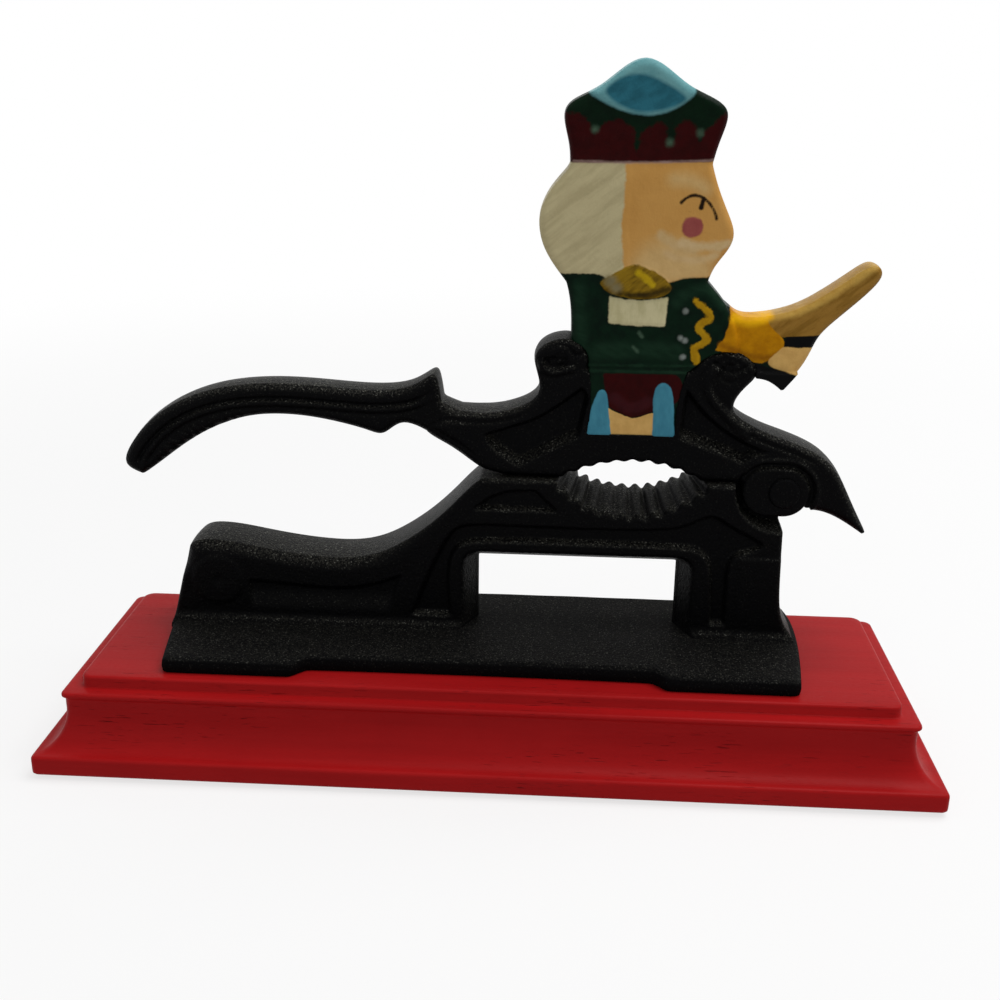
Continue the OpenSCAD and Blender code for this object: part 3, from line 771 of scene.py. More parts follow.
@dataclass
class NutSeat:
    """The two toothed jaws; the lower one's arc is tighter at the rear, as mould draft."""

    x: float = 39.5
    low: Jaw = Jaw(43.8, 51.6, 9.8, 11, 1.15)
    high: Jaw = Jaw(40.0, 51.9, 5.5, 9, 0.65)
    draft: float = 2.6
    lift: float = 1.5
    reach: float = 11.0

    @property
    def middle(self) -> float:
        """Height of the lower arc's centre."""
        return self.low.z - self.low.deep + self.low.radius

    def above_lower(self, x: Array, z: Array) -> Array:
        """Distance from the lower jaw's fluted face, positive in its metal."""
        return self.low.metal(x - self.x, self.middle - z)

    def under_upper(self, x: Array, z: Array) -> Array:
        """Distance from the upper jaw's fluted face, positive in its metal."""
        up = z - (self.high.z + self.high.deep - self.high.radius)
        return self.high.metal(x - self.x, up)

    def lean(self, points: Array, front: float, rear: float) -> None:
        """Draws the lower jaw in towards its rear face.

        A point at u = (x - middle) / (width / 2) moves by t f (dx, dz + lift (1 - u^2)).
        Here t grows from 0 at the front to 1 at the rear, f falls to 0 over reach from the
        arc, and (dx, dz) leads from the front arc's point at u to the rear arc's.

        Args:
            points: Points of the casting, moved in place.
            front: Where its front face lies.
            rear: Where its rear face lies.
        """
        r0, r1 = self.low.radius, self.low.radius - self.draft
        wide = self.low.width / 2
        narrow = math.sqrt(r1**2 - (self.middle - self.low.z) ** 2)
        x, y, z = points.T
        u = np.clip((x - self.x) / wide, -1.0, 1.0)
        f = 1 - smooth(np.hypot(x - self.x, z - self.middle) - r0, 0.0, self.reach)
        f *= 1 - smooth(np.abs(x - self.x) - wide, 0.0, self.reach)
        f *= np.clip((y - front) / (rear - front), 0.0, 1.0)
        dz = np.sqrt(r0**2 - (wide * u) ** 2) - np.sqrt(r1**2 - (narrow * u) ** 2)
        points[:, 0] += f * (narrow - wide) * u
        points[:, 2] += f * (dz + self.lift * (1 - u**2))


@dataclass
class WoodenBoard:
    """The moulded board and its felt pads."""

    length: float = 254.0
    width: float = 83.0
    height: float = 25.4
    corner: float = 1.6
    pad_radius: float = 8.0
    pad_inset: float = 20.0
    pad_inset_y: float = 14.0

    def profile(self) -> Array:
        """Inset from the board's edge and height over its underside, from the foot up.

        The cove is a quarter ellipse: inset = 0.8 + 7.3 sin a, height = 5.7 + 10.8 (1 - cos a).
        """
        a = np.radians(np.linspace(6, 90, 13))
        cove = np.stack([0.8 + 7.3 * np.sin(a), 5.7 + 10.8 * (1 - np.cos(a))], 1)
        foot = [(3.0, 0.0), (0.9, 0.0), (0.35, 0.18), (0.05, 0.6), (0.0, 1.2), (0.0, 4.6),
                (0.07, 5.1), (0.3, 5.5), (0.7, 5.68), (1.2, 5.76)]
        lip = [(8.1, 19.6), (8.0, 20.25), (7.75, 20.5), (7.5, 20.65), (7.36, 20.85),
               (7.34, 21.2), (7.42, 21.6), (7.7, 21.88), (8.1, 21.98), (9.0, 22.0), (11.4, 22.0),
               (11.85, 22.05), (12.0, 22.25), (12.0, 24.6), (12.1, 25.05), (12.45, 25.33),
               (12.95, 25.4), (14.5, 25.4)]
        return np.concatenate([foot, cove, lip])

    def build(self, paint: Material) -> Thing:
        """The board: its section carried round a rounded rectangle."""
        rings = []
        for inset, height in self.profile():
            outline = rounded_box(self.length / 2 - inset, self.width / 2 - inset,
                                  self.corner + 0.1 * inset, 6)
            rings.append(np.column_stack([outline, np.full(len(outline), BOARD + height)]))
        return loft(np.array(rings)).mesh("painted_board", paint, crease=50)

    def pad(self, sx: int, sy: int, name: str, felt: Material) -> Thing:
        """A felt disc with a rubbed-down edge, in the corner that the signs name."""
        a = np.linspace(0, 2 * math.pi, 48, endpoint=False)
        wobble = 1 + 0.006 * np.sin(5 * a + sx) + 0.004 * np.sin(9 * a + sy)
        x = sx * (self.length / 2 - self.pad_inset)
        y = sy * (self.width / 2 - self.pad_inset_y)
        rings = []
        for r, z in ((0.96, 0.0), (0.99, 0.08), (1.0, 0.3), (0.995, 0.9), (0.985, BOARD + 0.02)):
            radius = self.pad_radius * r * wobble / 1.01  # the wobble stays inside the disc
            rings.append(np.column_stack([x + radius * np.cos(a), y + radius * np.sin(a),
                                          np.full(len(a), z)]))
        return loft(np.array(rings)).mesh(name, felt, crease=60)


@dataclass
class BaseCasting:
    """The base: a flange, and an upright web with the lower jaw and the hinge post."""

    hinge: Hinge
    seat: NutSeat
    half: float = 9.5
    flange: float = 4.4
    fillet: float = 3.4
    root: float = 2.5
    edge: float = 1.3
    channel_depth: float = 2.4
    heel_depth: float = 1.5
    heel_round: float = 3.8
    jamb: Triple = (0.6, 2.2, 1.6)
    boss: Pair = (-82.8, 17.5)
    boss_radius: float = 7.6
    # share of the painted light kept on the low flange
    low_light_share: float = 0.45
    web: Outline = field(init=False)
    window: Outline = field(init=False)
    channel: Outline = field(init=False)
    heel: Outline = field(init=False)
    shoulder: Outline = field(init=False)
    plan: Outline = field(init=False)

    def __post_init__(self) -> None:
        """Draws the outlines."""
        hx, top = self.hinge.x, self.seat.low.z
        self.web = Outline.curve([
            (-98, -2, 2), (-97.4, 4), (-94, 16.6), (-91.4, 27.4, 2), (-88.6, 29.6), (-80, 29.2),
            (-70, 27.2), (-60, 25.6), (-50, 24.7), (-42, 24.8), (-35, 26.4), (-28, 30),
            (-20, 35.7), (-13, 42.4), (-8, 48.2), (-4, top, 2), (4, top), (30, top), (60, top),
            (hx - 7, top, 2), (hx + 0.3, top - 3, 2), (hx + 0.5, 38), (hx + 0.8, 26),
            (hx + 1.2, 15), (hx + 2.8, 9), (hx + 6, 5.4), (hx + 8, 0), (hx + 8, -2, 2),
            (40, -2), (-40, -2)])
        self.window = Outline.curve([
            (-5.2, -4, 2), (-5.2, 18), (-5.2, 25.2, 2), (6, 25.2), (42, 25.2), (54.6, 25.2, 2),
            (54.6, 18), (54.6, -4, 2)])
        self.channel = Outline.curve([
            (-24.5, 8, 2), (-20.3, 20.2), (-15.2, 31), (-11.6, 37.2), (-4, 37.9), (12, 37.5),
            (30, 37.2), (50, 37.4), (57.5, 39.6), (63.1, 43.8), (68.5, 39.2), (77.5, 35.2),
            (78.8, 33.2), (75, 31.2), (70.6, 30.4), (68.8, 27.5), (68.9, 18), (69, 8, 2),
            (64.4, 8, 2), (63.9, 18), (63.4, 27.4), (60.4, 31.4), (54, 32.2), (30, 32.2),
            (-4, 32.4), (-10.4, 31.2), (-12.8, 26.4), (-13.4, 18), (-12.4, 8, 2)])
        self.heel = Outline.curve([
            (-73.4, 7, 2), (-73.4, 17.6, 2), (-65, 17.2), (-55, 16.2), (-45, 15.8), (-36, 17.4),
            (-27.6, 20.6, 2), (-30, 13), (-31.6, 7, 2)])
        self.shoulder = Outline.curve([
            (-6, 42.4, 2), (-2, 46), (4, 48.6), (12, 48.6, 2), (18.6, 42.2, 2), (6, 42.2)])
        y = 25.6
        self.plan = Outline.curve([
            (-92.6, -y, 2), (-95.2, -10), (-97.4, 3), (-98.8, 14), (-98, 24), (-95.5, y + 3.4, 2),
            (-40, y + 3.4), (40, y + 3.4), (88.5, y + 3.4, 2), (91.2, 20), (91.2, 5), (89.6, -11),
            (87.4, -y, 2), (70, -y), (50.6, -y, 2), (46.6, 4.4 - y, 2), (20, 5 - y), (-30, 5 - y),
            (-51.6, 4.6 - y, 2), (-56, -y, 2), (-75, -y)])

    def depth(self, x: Array, z: Array) -> Array:
        """How deep a point of the front view lies in the web's metal."""
        ear = self.hinge.base_ear - self.hinge.pin_distance(x, z)
        metal = np.maximum(self.web.depth(x, z), ear)
        metal = np.minimum(metal, self.seat.above_lower(x, z))
        metal = np.minimum(metal, -self.window.depth(x, z))
        return np.minimum(metal, z - self.flange + self.root)

    def thickness(self, x: Array, z: Array, depth: Array) -> Array:
        """Half the web's thickness with its relief.

        The window's jambs rise from the middle plane as h = root + slope d and blend into
        the faces; a sunk area takes its depth times a smoothstep of the distance inside it.
        """
        h = self.half - quarter_round(depth, self.edge)
        h += quarter_round(z - self.flange + 0.3, self.fillet)
        root, slope, blend = self.jamb
        h = soft_min(h, root + slope * np.clip(-self.window.depth(x, z), 0, None), blend)
        h -= self.channel_depth * smooth(self.channel.depth(x, z), -0.3, 1.0)
        h -= self.heel_depth * smooth(self.heel.depth(x, z), -0.4, 1.0) * smooth(z, 8.0, 15.0)
        h -= self.channel_depth * smooth(self.shoulder.depth(x, z), -0.3, 0.9)
        r = np.hypot(x - self.boss[0], z - self.boss[1])
        h += 0.45 * smooth(self.boss_radius - r, -0.9, 1.0) - 0.4 * ridge(r, 1.5)
        foot = smooth(np.minimum(np.minimum(x - 71.5, 30 - z), 100 - x), -0.3, 0.8)
        return h + 0.5 * foot

    def front(self, x: Array, z: Array, depth: Array) -> Array:
        """The front face; the cradle is cut back to the hinge's lap plane.

        The heel's top edge has a larger round here.
        """
        y = MIDDLE - self.thickness(x, z, depth)
        heel_top = smooth(-x, 8, 45) * smooth(z, 17, 23)
        y += heel_top * (quarter_round(depth, self.heel_round) - quarter_round(depth, self.edge))
        r = np.hypot(x - self.hinge.x + 1, z - self.hinge.z - 1.2)
        cut = smooth(self.hinge.cradle - r, -0.3, 0.3)
        return y + (MIDDLE + self.hinge.lap - y) * cut

    def back(self, x: Array, z: Array, depth: Array) -> Array:
        """The rear face, a repeat of the front without the cradle."""
        return MIDDLE + self.thickness(x, z, depth)

    def build(self, enamel: Material) -> Thing:
        """Web and flange in one piece; the flange is duller and carries less of the painted light.
        """
        web = ReliefForm(self.depth, self.front, self.back, (-100, self.flange - 5.5), (94, 59),
                         step=0.5, radius=self.edge).build()
        self.seat.lean(web.points, MIDDLE - self.half, MIDDLE + self.half)
        web.points[:, 2] += DECK

        def top(x: Array, y: Array, depth: Array) -> Array:
            """The flange's upper face, a little uneven: t + 0.06 sin 0.21x sin(0.3y + 0.1x)."""
            wave = 0.06 * np.sin(0.21 * x) * np.sin(0.3 * y + 0.1 * x)
            return -(DECK + self.flange + wave - quarter_round(depth, self.edge))

        plate = ReliefForm(self.plan.depth, top, lambda x, y, d: np.full_like(x, -DECK),
                           (-101, -27), (94, 31), step=1.1, radius=self.edge, draft=0.2,
                           plane=Plane.FLAT).build()
        plate.points[:, 2] = np.maximum(plate.points[:, 2], DECK)
        whole = web + plate
        piece = whole.mesh("cast_base", enamel)
        low = whole.points[:, 2] < DECK + self.flange + 1.0
        # painted light: how far each point faces the key lamp, less on the low flange
        paint_fields(piece, {"worn": lamp_facing(piece) * np.where(low, self.low_light_share, 1.0),
                             "matt": low.astype(float)})
        return piece


@dataclass
class LeverCasting:
    """The lever: grip, neck, upper jaw, volutes, ear and tail."""

    hinge: Hinge
    seat: NutSeat
    half: float = 7.5
    grip_half: float = 6.2
    edge: float = 1.3
    pocket_depth: float = 3.6
    ear_y: float = 3.5
    groove_y: float = 5.0
    grip: Outline = field(init=False)
    crest: Outline = field(init=False)
    body: Outline = field(init=False)
    pocket_left: Outline = field(init=False)
    pocket_right: Outline = field(init=False)
    leg_seat: Outline = field(init=False)
    link: Outline = field(init=False)
    lip: Outline = field(init=False)
    rib: Outline = field(init=False)
    fold: Outline = field(init=False)

    def __post_init__(self) -> None:
        """Draws the outlines."""
        hx, hz, under = self.hinge.x, self.hinge.z, self.seat.high.z
        back = [(-108.2, 57.2), (-102.8, 64.2), (-95, 70.2), (-86, 74.2), (-76, 76.6),
                (-64, 77.5), (-52, 77), (-40, 76), (-30, 76), (-23.5, 77.6), (-18.8, 81.2)]
        self.grip = Outline.curve([
            (-110.2, 52.6), *back, (-16.8, 81.6), (-15.6, 73, 2), (-6, 69, 2), (-14, 61, 2),
            (-24, 66.6), (-28.4, 66.6), (-32, 63), (-34.6, 62.8), (-38, 64.2), (-46, 66.2),
            (-54, 67.6), (-62, 68.2), (-71, 67.7), (-79, 65.2), (-86, 61.9), (-93, 57.4),
            (-99.6, 52.2), (-104.6, 48.6, 2), (-108.6, 50.2)])
        self.crest = Outline.curve([(-109.2, 50), (-109.8, 53.6), *back], 4, closed=False)
        self.body = Outline.curve([
            (-17.5, 69.5), (-15.8, 71.4), (-8, 70.5), (-1, 70.4), (5.5, 72), (11, 74.6),
            (12.9, 78.4), (11.4, 83), (10.2, 87.6), (13.2, 91.2), (18, 92.8), (22.2, 92.6),
            (25.6, 89.8), (26.4, 87), (26, 84.6, 2), (40, 84.6), (54, 84.6, 2), (56.8, 87.6),
            (60, 89.8), (65.3, 90.9), (69.4, 89.2), (73, 86), (73, 82.8), (70.2, 80.2),
            (67.4, 76.6), (66.8, 73.2), (69, 71), (72.4, 69), (hx - 6.2, hz + 17.2),
            (hx, hz + 15.2), (hx + 6.5, hz + 12.7), (hx + 11.6, hz + 9.8), (hx + 15.2, hz + 5.8),
            (hx + 18.2, hz), (hx + 21.6, hz - 6.6), (hx + 25.6, hz - 13.8, 2),
            (hx + 17.8, hz - 8.4), (hx + 11.8, hz - 5.6), (hx + 6.8, hz - 5.4), (hx, hz - 5),
            (hx - 7, hz - 5), (hx - 13, under, 2), (62, under), (38, under), (16, under),
            (7, under), (0.5, 52.5), (-4.5, 54), (-9, 57.4), (-14, 60.6), (-20.6, 63.8),
            (-22, 67.6)])
        self.pocket_left = Outline.curve([
            (-3, 64.6, 2), (-2, 60.4), (6.8, 54.8, 2), (15, 59.6), (24.2, 64.4, 2), (25.6, 71.6),
            (27, 76.6), (24.2, 79, 2), (20, 75.6), (12, 69.6), (5, 67.4)])
        self.pocket_right = Outline.curve([
            (52.4, 64.6, 2), (52.6, 72), (53.6, 79.4, 2), (56, 76.6), (59, 72.6), (65, 67.6),
            (72, 63.6), (78, 61.4, 2), (74, 59.8), (70.6, 57.6, 2), (62, 61.4)])
        self.leg_seat = Outline(np.array([
            (26.2, 84.6), (53.6, 84.6), (52, 79), (51, 73), (50.8, 65.6), (26.2, 65.6), (27, 72),
            (26.8, 79)], float))
        self.lip = Outline.curve([
            (12.6, 85.6), (13.6, 83.6), (16, 82.6), (19, 83.8), (21.4, 84.2)], closed=False)
        self.rib = Outline.curve([(61.4, 85), (59.6, 83.2), (58.9, 80.4), (60.4, 76.8),
                                  (63.8, 73.3), (67.4, 69.7), (71, 66.8)], closed=False)
        self.fold = Outline.curve([(60.8, 87), (63, 85.2), (65.9, 84.2), (69, 85.4), (70.6, 86.8)],
                                  closed=False)
        self.link = Outline(np.array([
            (70.6, 52.3), (hx - 2, hz), (90.6, 44.4), (95, 50), (90, 62), (72, 62)], float))

    def depth(self, x: Array, z: Array) -> Array:
        """How deep a point of the front view lies in the lever's metal."""
        from_ear = self.hinge.ear_distance(x, z)
        metal = np.maximum(self.grip.depth(x, z), self.body.depth(x, z))
        ring = from_ear - self.hinge.ear - self.hinge.groove
        metal = np.minimum(metal, np.maximum(ring, self.link.depth(x, z)))
        metal = np.maximum(metal, self.hinge.ear - from_ear)
        return np.minimum(metal, self.seat.under_upper(x, z))

    def grip_relief(self, x: Array, z: Array) -> Array:
        """Border, beads and feather ribs on the grip.

        All follow the distance d from the grip's upper edge: a border 3.6 mm wide, a
        groove at 4.1, a bead at 5.5 and a groove at 7. The ribs below are a sine across
        slanting lines that wander, and fade out along the grip.
        """
        d = self.crest.distance(x, z)
        sunk = -0.45 * smooth(d, 3.3, 4.1) - 0.55 * ridge(d - 4.2, 0.5)
        sunk += 0.55 * ridge(d - 5.6, 0.8) - 0.4 * ridge(d - 7.0, 0.45)
        wave = 2.1 * (0.62 * x + z) + 1.4 * np.sin(0.5 * x) + 0.8 * np.sin(1.3 * z)
        ribs = 0.24 * np.sin(wave) * smooth(d, 7.4, 8.4) * smooth(-x, 66, 90)
        return (sunk + ribs) * smooth(-x, 17, 24) * smooth(z, 50.5, 55)

    def volutes(self, x: Array, z: Array) -> Array:
        """The scrolls that flank the soldier.

        Each has a round eye and a faint spiral groove. The left one has a sunk lens with a
        bead in it and a lip under it, the right one a long bead that runs down its inner side.
        """
        grooves = np.zeros_like(x)
        for eye, start, turn, reach in (((17.6, 87.0), 200, -1, 5.2), ((65.0, 84.4), -20, 1, 5.0)):
            near = smooth(reach - np.hypot(x - eye[0], z - eye[1]), 0, 1)
            grooves += spiral_ridge(x, z, eye, start, turn) * near
        h = -0.4 * grooves
        h -= 0.9 * smooth(1.7 - capsule(x, z, (14.6, 86.0), (18.4, 86.2)), -0.2, 0.9)
        h += 0.9 * ridge(np.hypot(x - 17.6, z - 86.3), 0.7)
        for eye, radius in (((22.9, 90.6), 1.4), ((65.5, 88.6), 1.0)):
            r = np.hypot(x - eye[0], z - eye[1])
            h += 0.9 * ridge(r, radius) - 0.4 * ridge(r - 2.3, 0.5)
        lip = self.lip.distance(x, z)
        h += 0.55 * ridge(lip, 0.7) - 0.3 * ridge(lip - 1.5, 0.5)
        rib = self.rib.distance(x, z)
        h += 0.7 * ridge(rib, 0.9) - 0.3 * ridge(rib - 2.0, 0.6)
        return h - 0.6 * ridge(self.fold.distance(x, z), 0.55)

    def thickness(self, x: Array, z: Array, depth: Array) -> Array:
        """Half the lever's thickness with its relief."""
        body = smooth(self.body.depth(x, z) - 0.25 * np.clip(-x - 4, 0, 20), -3.0, 3.0)
        h = self.grip_half + (self.half - self.grip_half) * body
        h -= quarter_round(depth, self.edge)
        h -= (1 - body) * (quarter_round(depth, 2.6) - quarter_round(depth, self.edge))
        h += self.grip_relief(x, z)
        for pocket in (self.pocket_left, self.pocket_right):
            inside = pocket.depth(x, z)
            ledge = np.minimum(inside, pocket.depth(x, z - 1.5))
            h -= self.pocket_depth / 2 * (smooth(inside, -0.3, 1.3) + smooth(ledge, -0.3, 1.3))
        h -= 3.2 * smooth(self.leg_seat.depth(x, z), 0.0, 0.5)
        rail = self.body.depth(x, z)
        beyond = np.maximum(smooth(-x, -14, -2), smooth(x, 66, 70) * smooth(-x, -98, -90))
        h -= 0.5 * ridge(rail - 2.5, 0.6) * beyond * smooth(z, 55, 61)
        from_ear = self.hinge.ear_distance(x, z)
        round_ear = smooth(x, 73, 76) * smooth(z - self.hinge.z, -8.5, -6)
        h += 0.6 * ridge(from_ear - 9.5, 0.65) * round_ear
        return h + self.volutes(x, z)

    def front(self, x: Array, z: Array, depth: Array) -> Array:
        """The front face, with the ear and the groove round it."""
        from_ear = self.hinge.ear_distance(x, z)
        y = MIDDLE - self.thickness(x, z, depth)
        outer = self.hinge.ear + self.hinge.groove
        y += (self.groove_y - y) * smooth(outer - from_ear, 0.0, 0.5)
        ear = self.ear_y + quarter_round(self.hinge.ear - from_ear, 0.9)
        return y + (ear - y) * smooth(self.hinge.ear - from_ear, -0.4, 0.0)

    def back(self, x: Array, z: Array, depth: Array) -> Array:
        """The rear face, cut back to the hinge's lap plane behind the ear."""
        from_ear = self.hinge.ear_distance(x, z)
        y = MIDDLE + self.thickness(x, z, depth)
        outer = self.hinge.ear + self.hinge.groove
        return y + (MIDDLE - self.hinge.lap - y) * smooth(outer - from_ear, 0.05, 0.6)

    def build(self, enamel: Material) -> Thing:
        """The lever in one piece."""
        form = ReliefForm(self.depth, self.front, self.back, (-114, 32), (112, 97), step=0.42,
                          radius=self.edge).build()
        form.points[:, 2] += DECK
        piece = form.mesh("cast_lever", enamel)
        # painted light: how far each point faces the key lamp
        paint_fields(piece, {"worn": lamp_facing(piece)})
        return piece


@dataclass
class Patch:
    """An area of the soldier in one enamel: a shape, and how far the paint or metal rises."""

    name: str
    enamel: Enamel
    depth: Depth
    rise: float = 0.0
    ragged: float = 0.25
    soft: float = 0.14


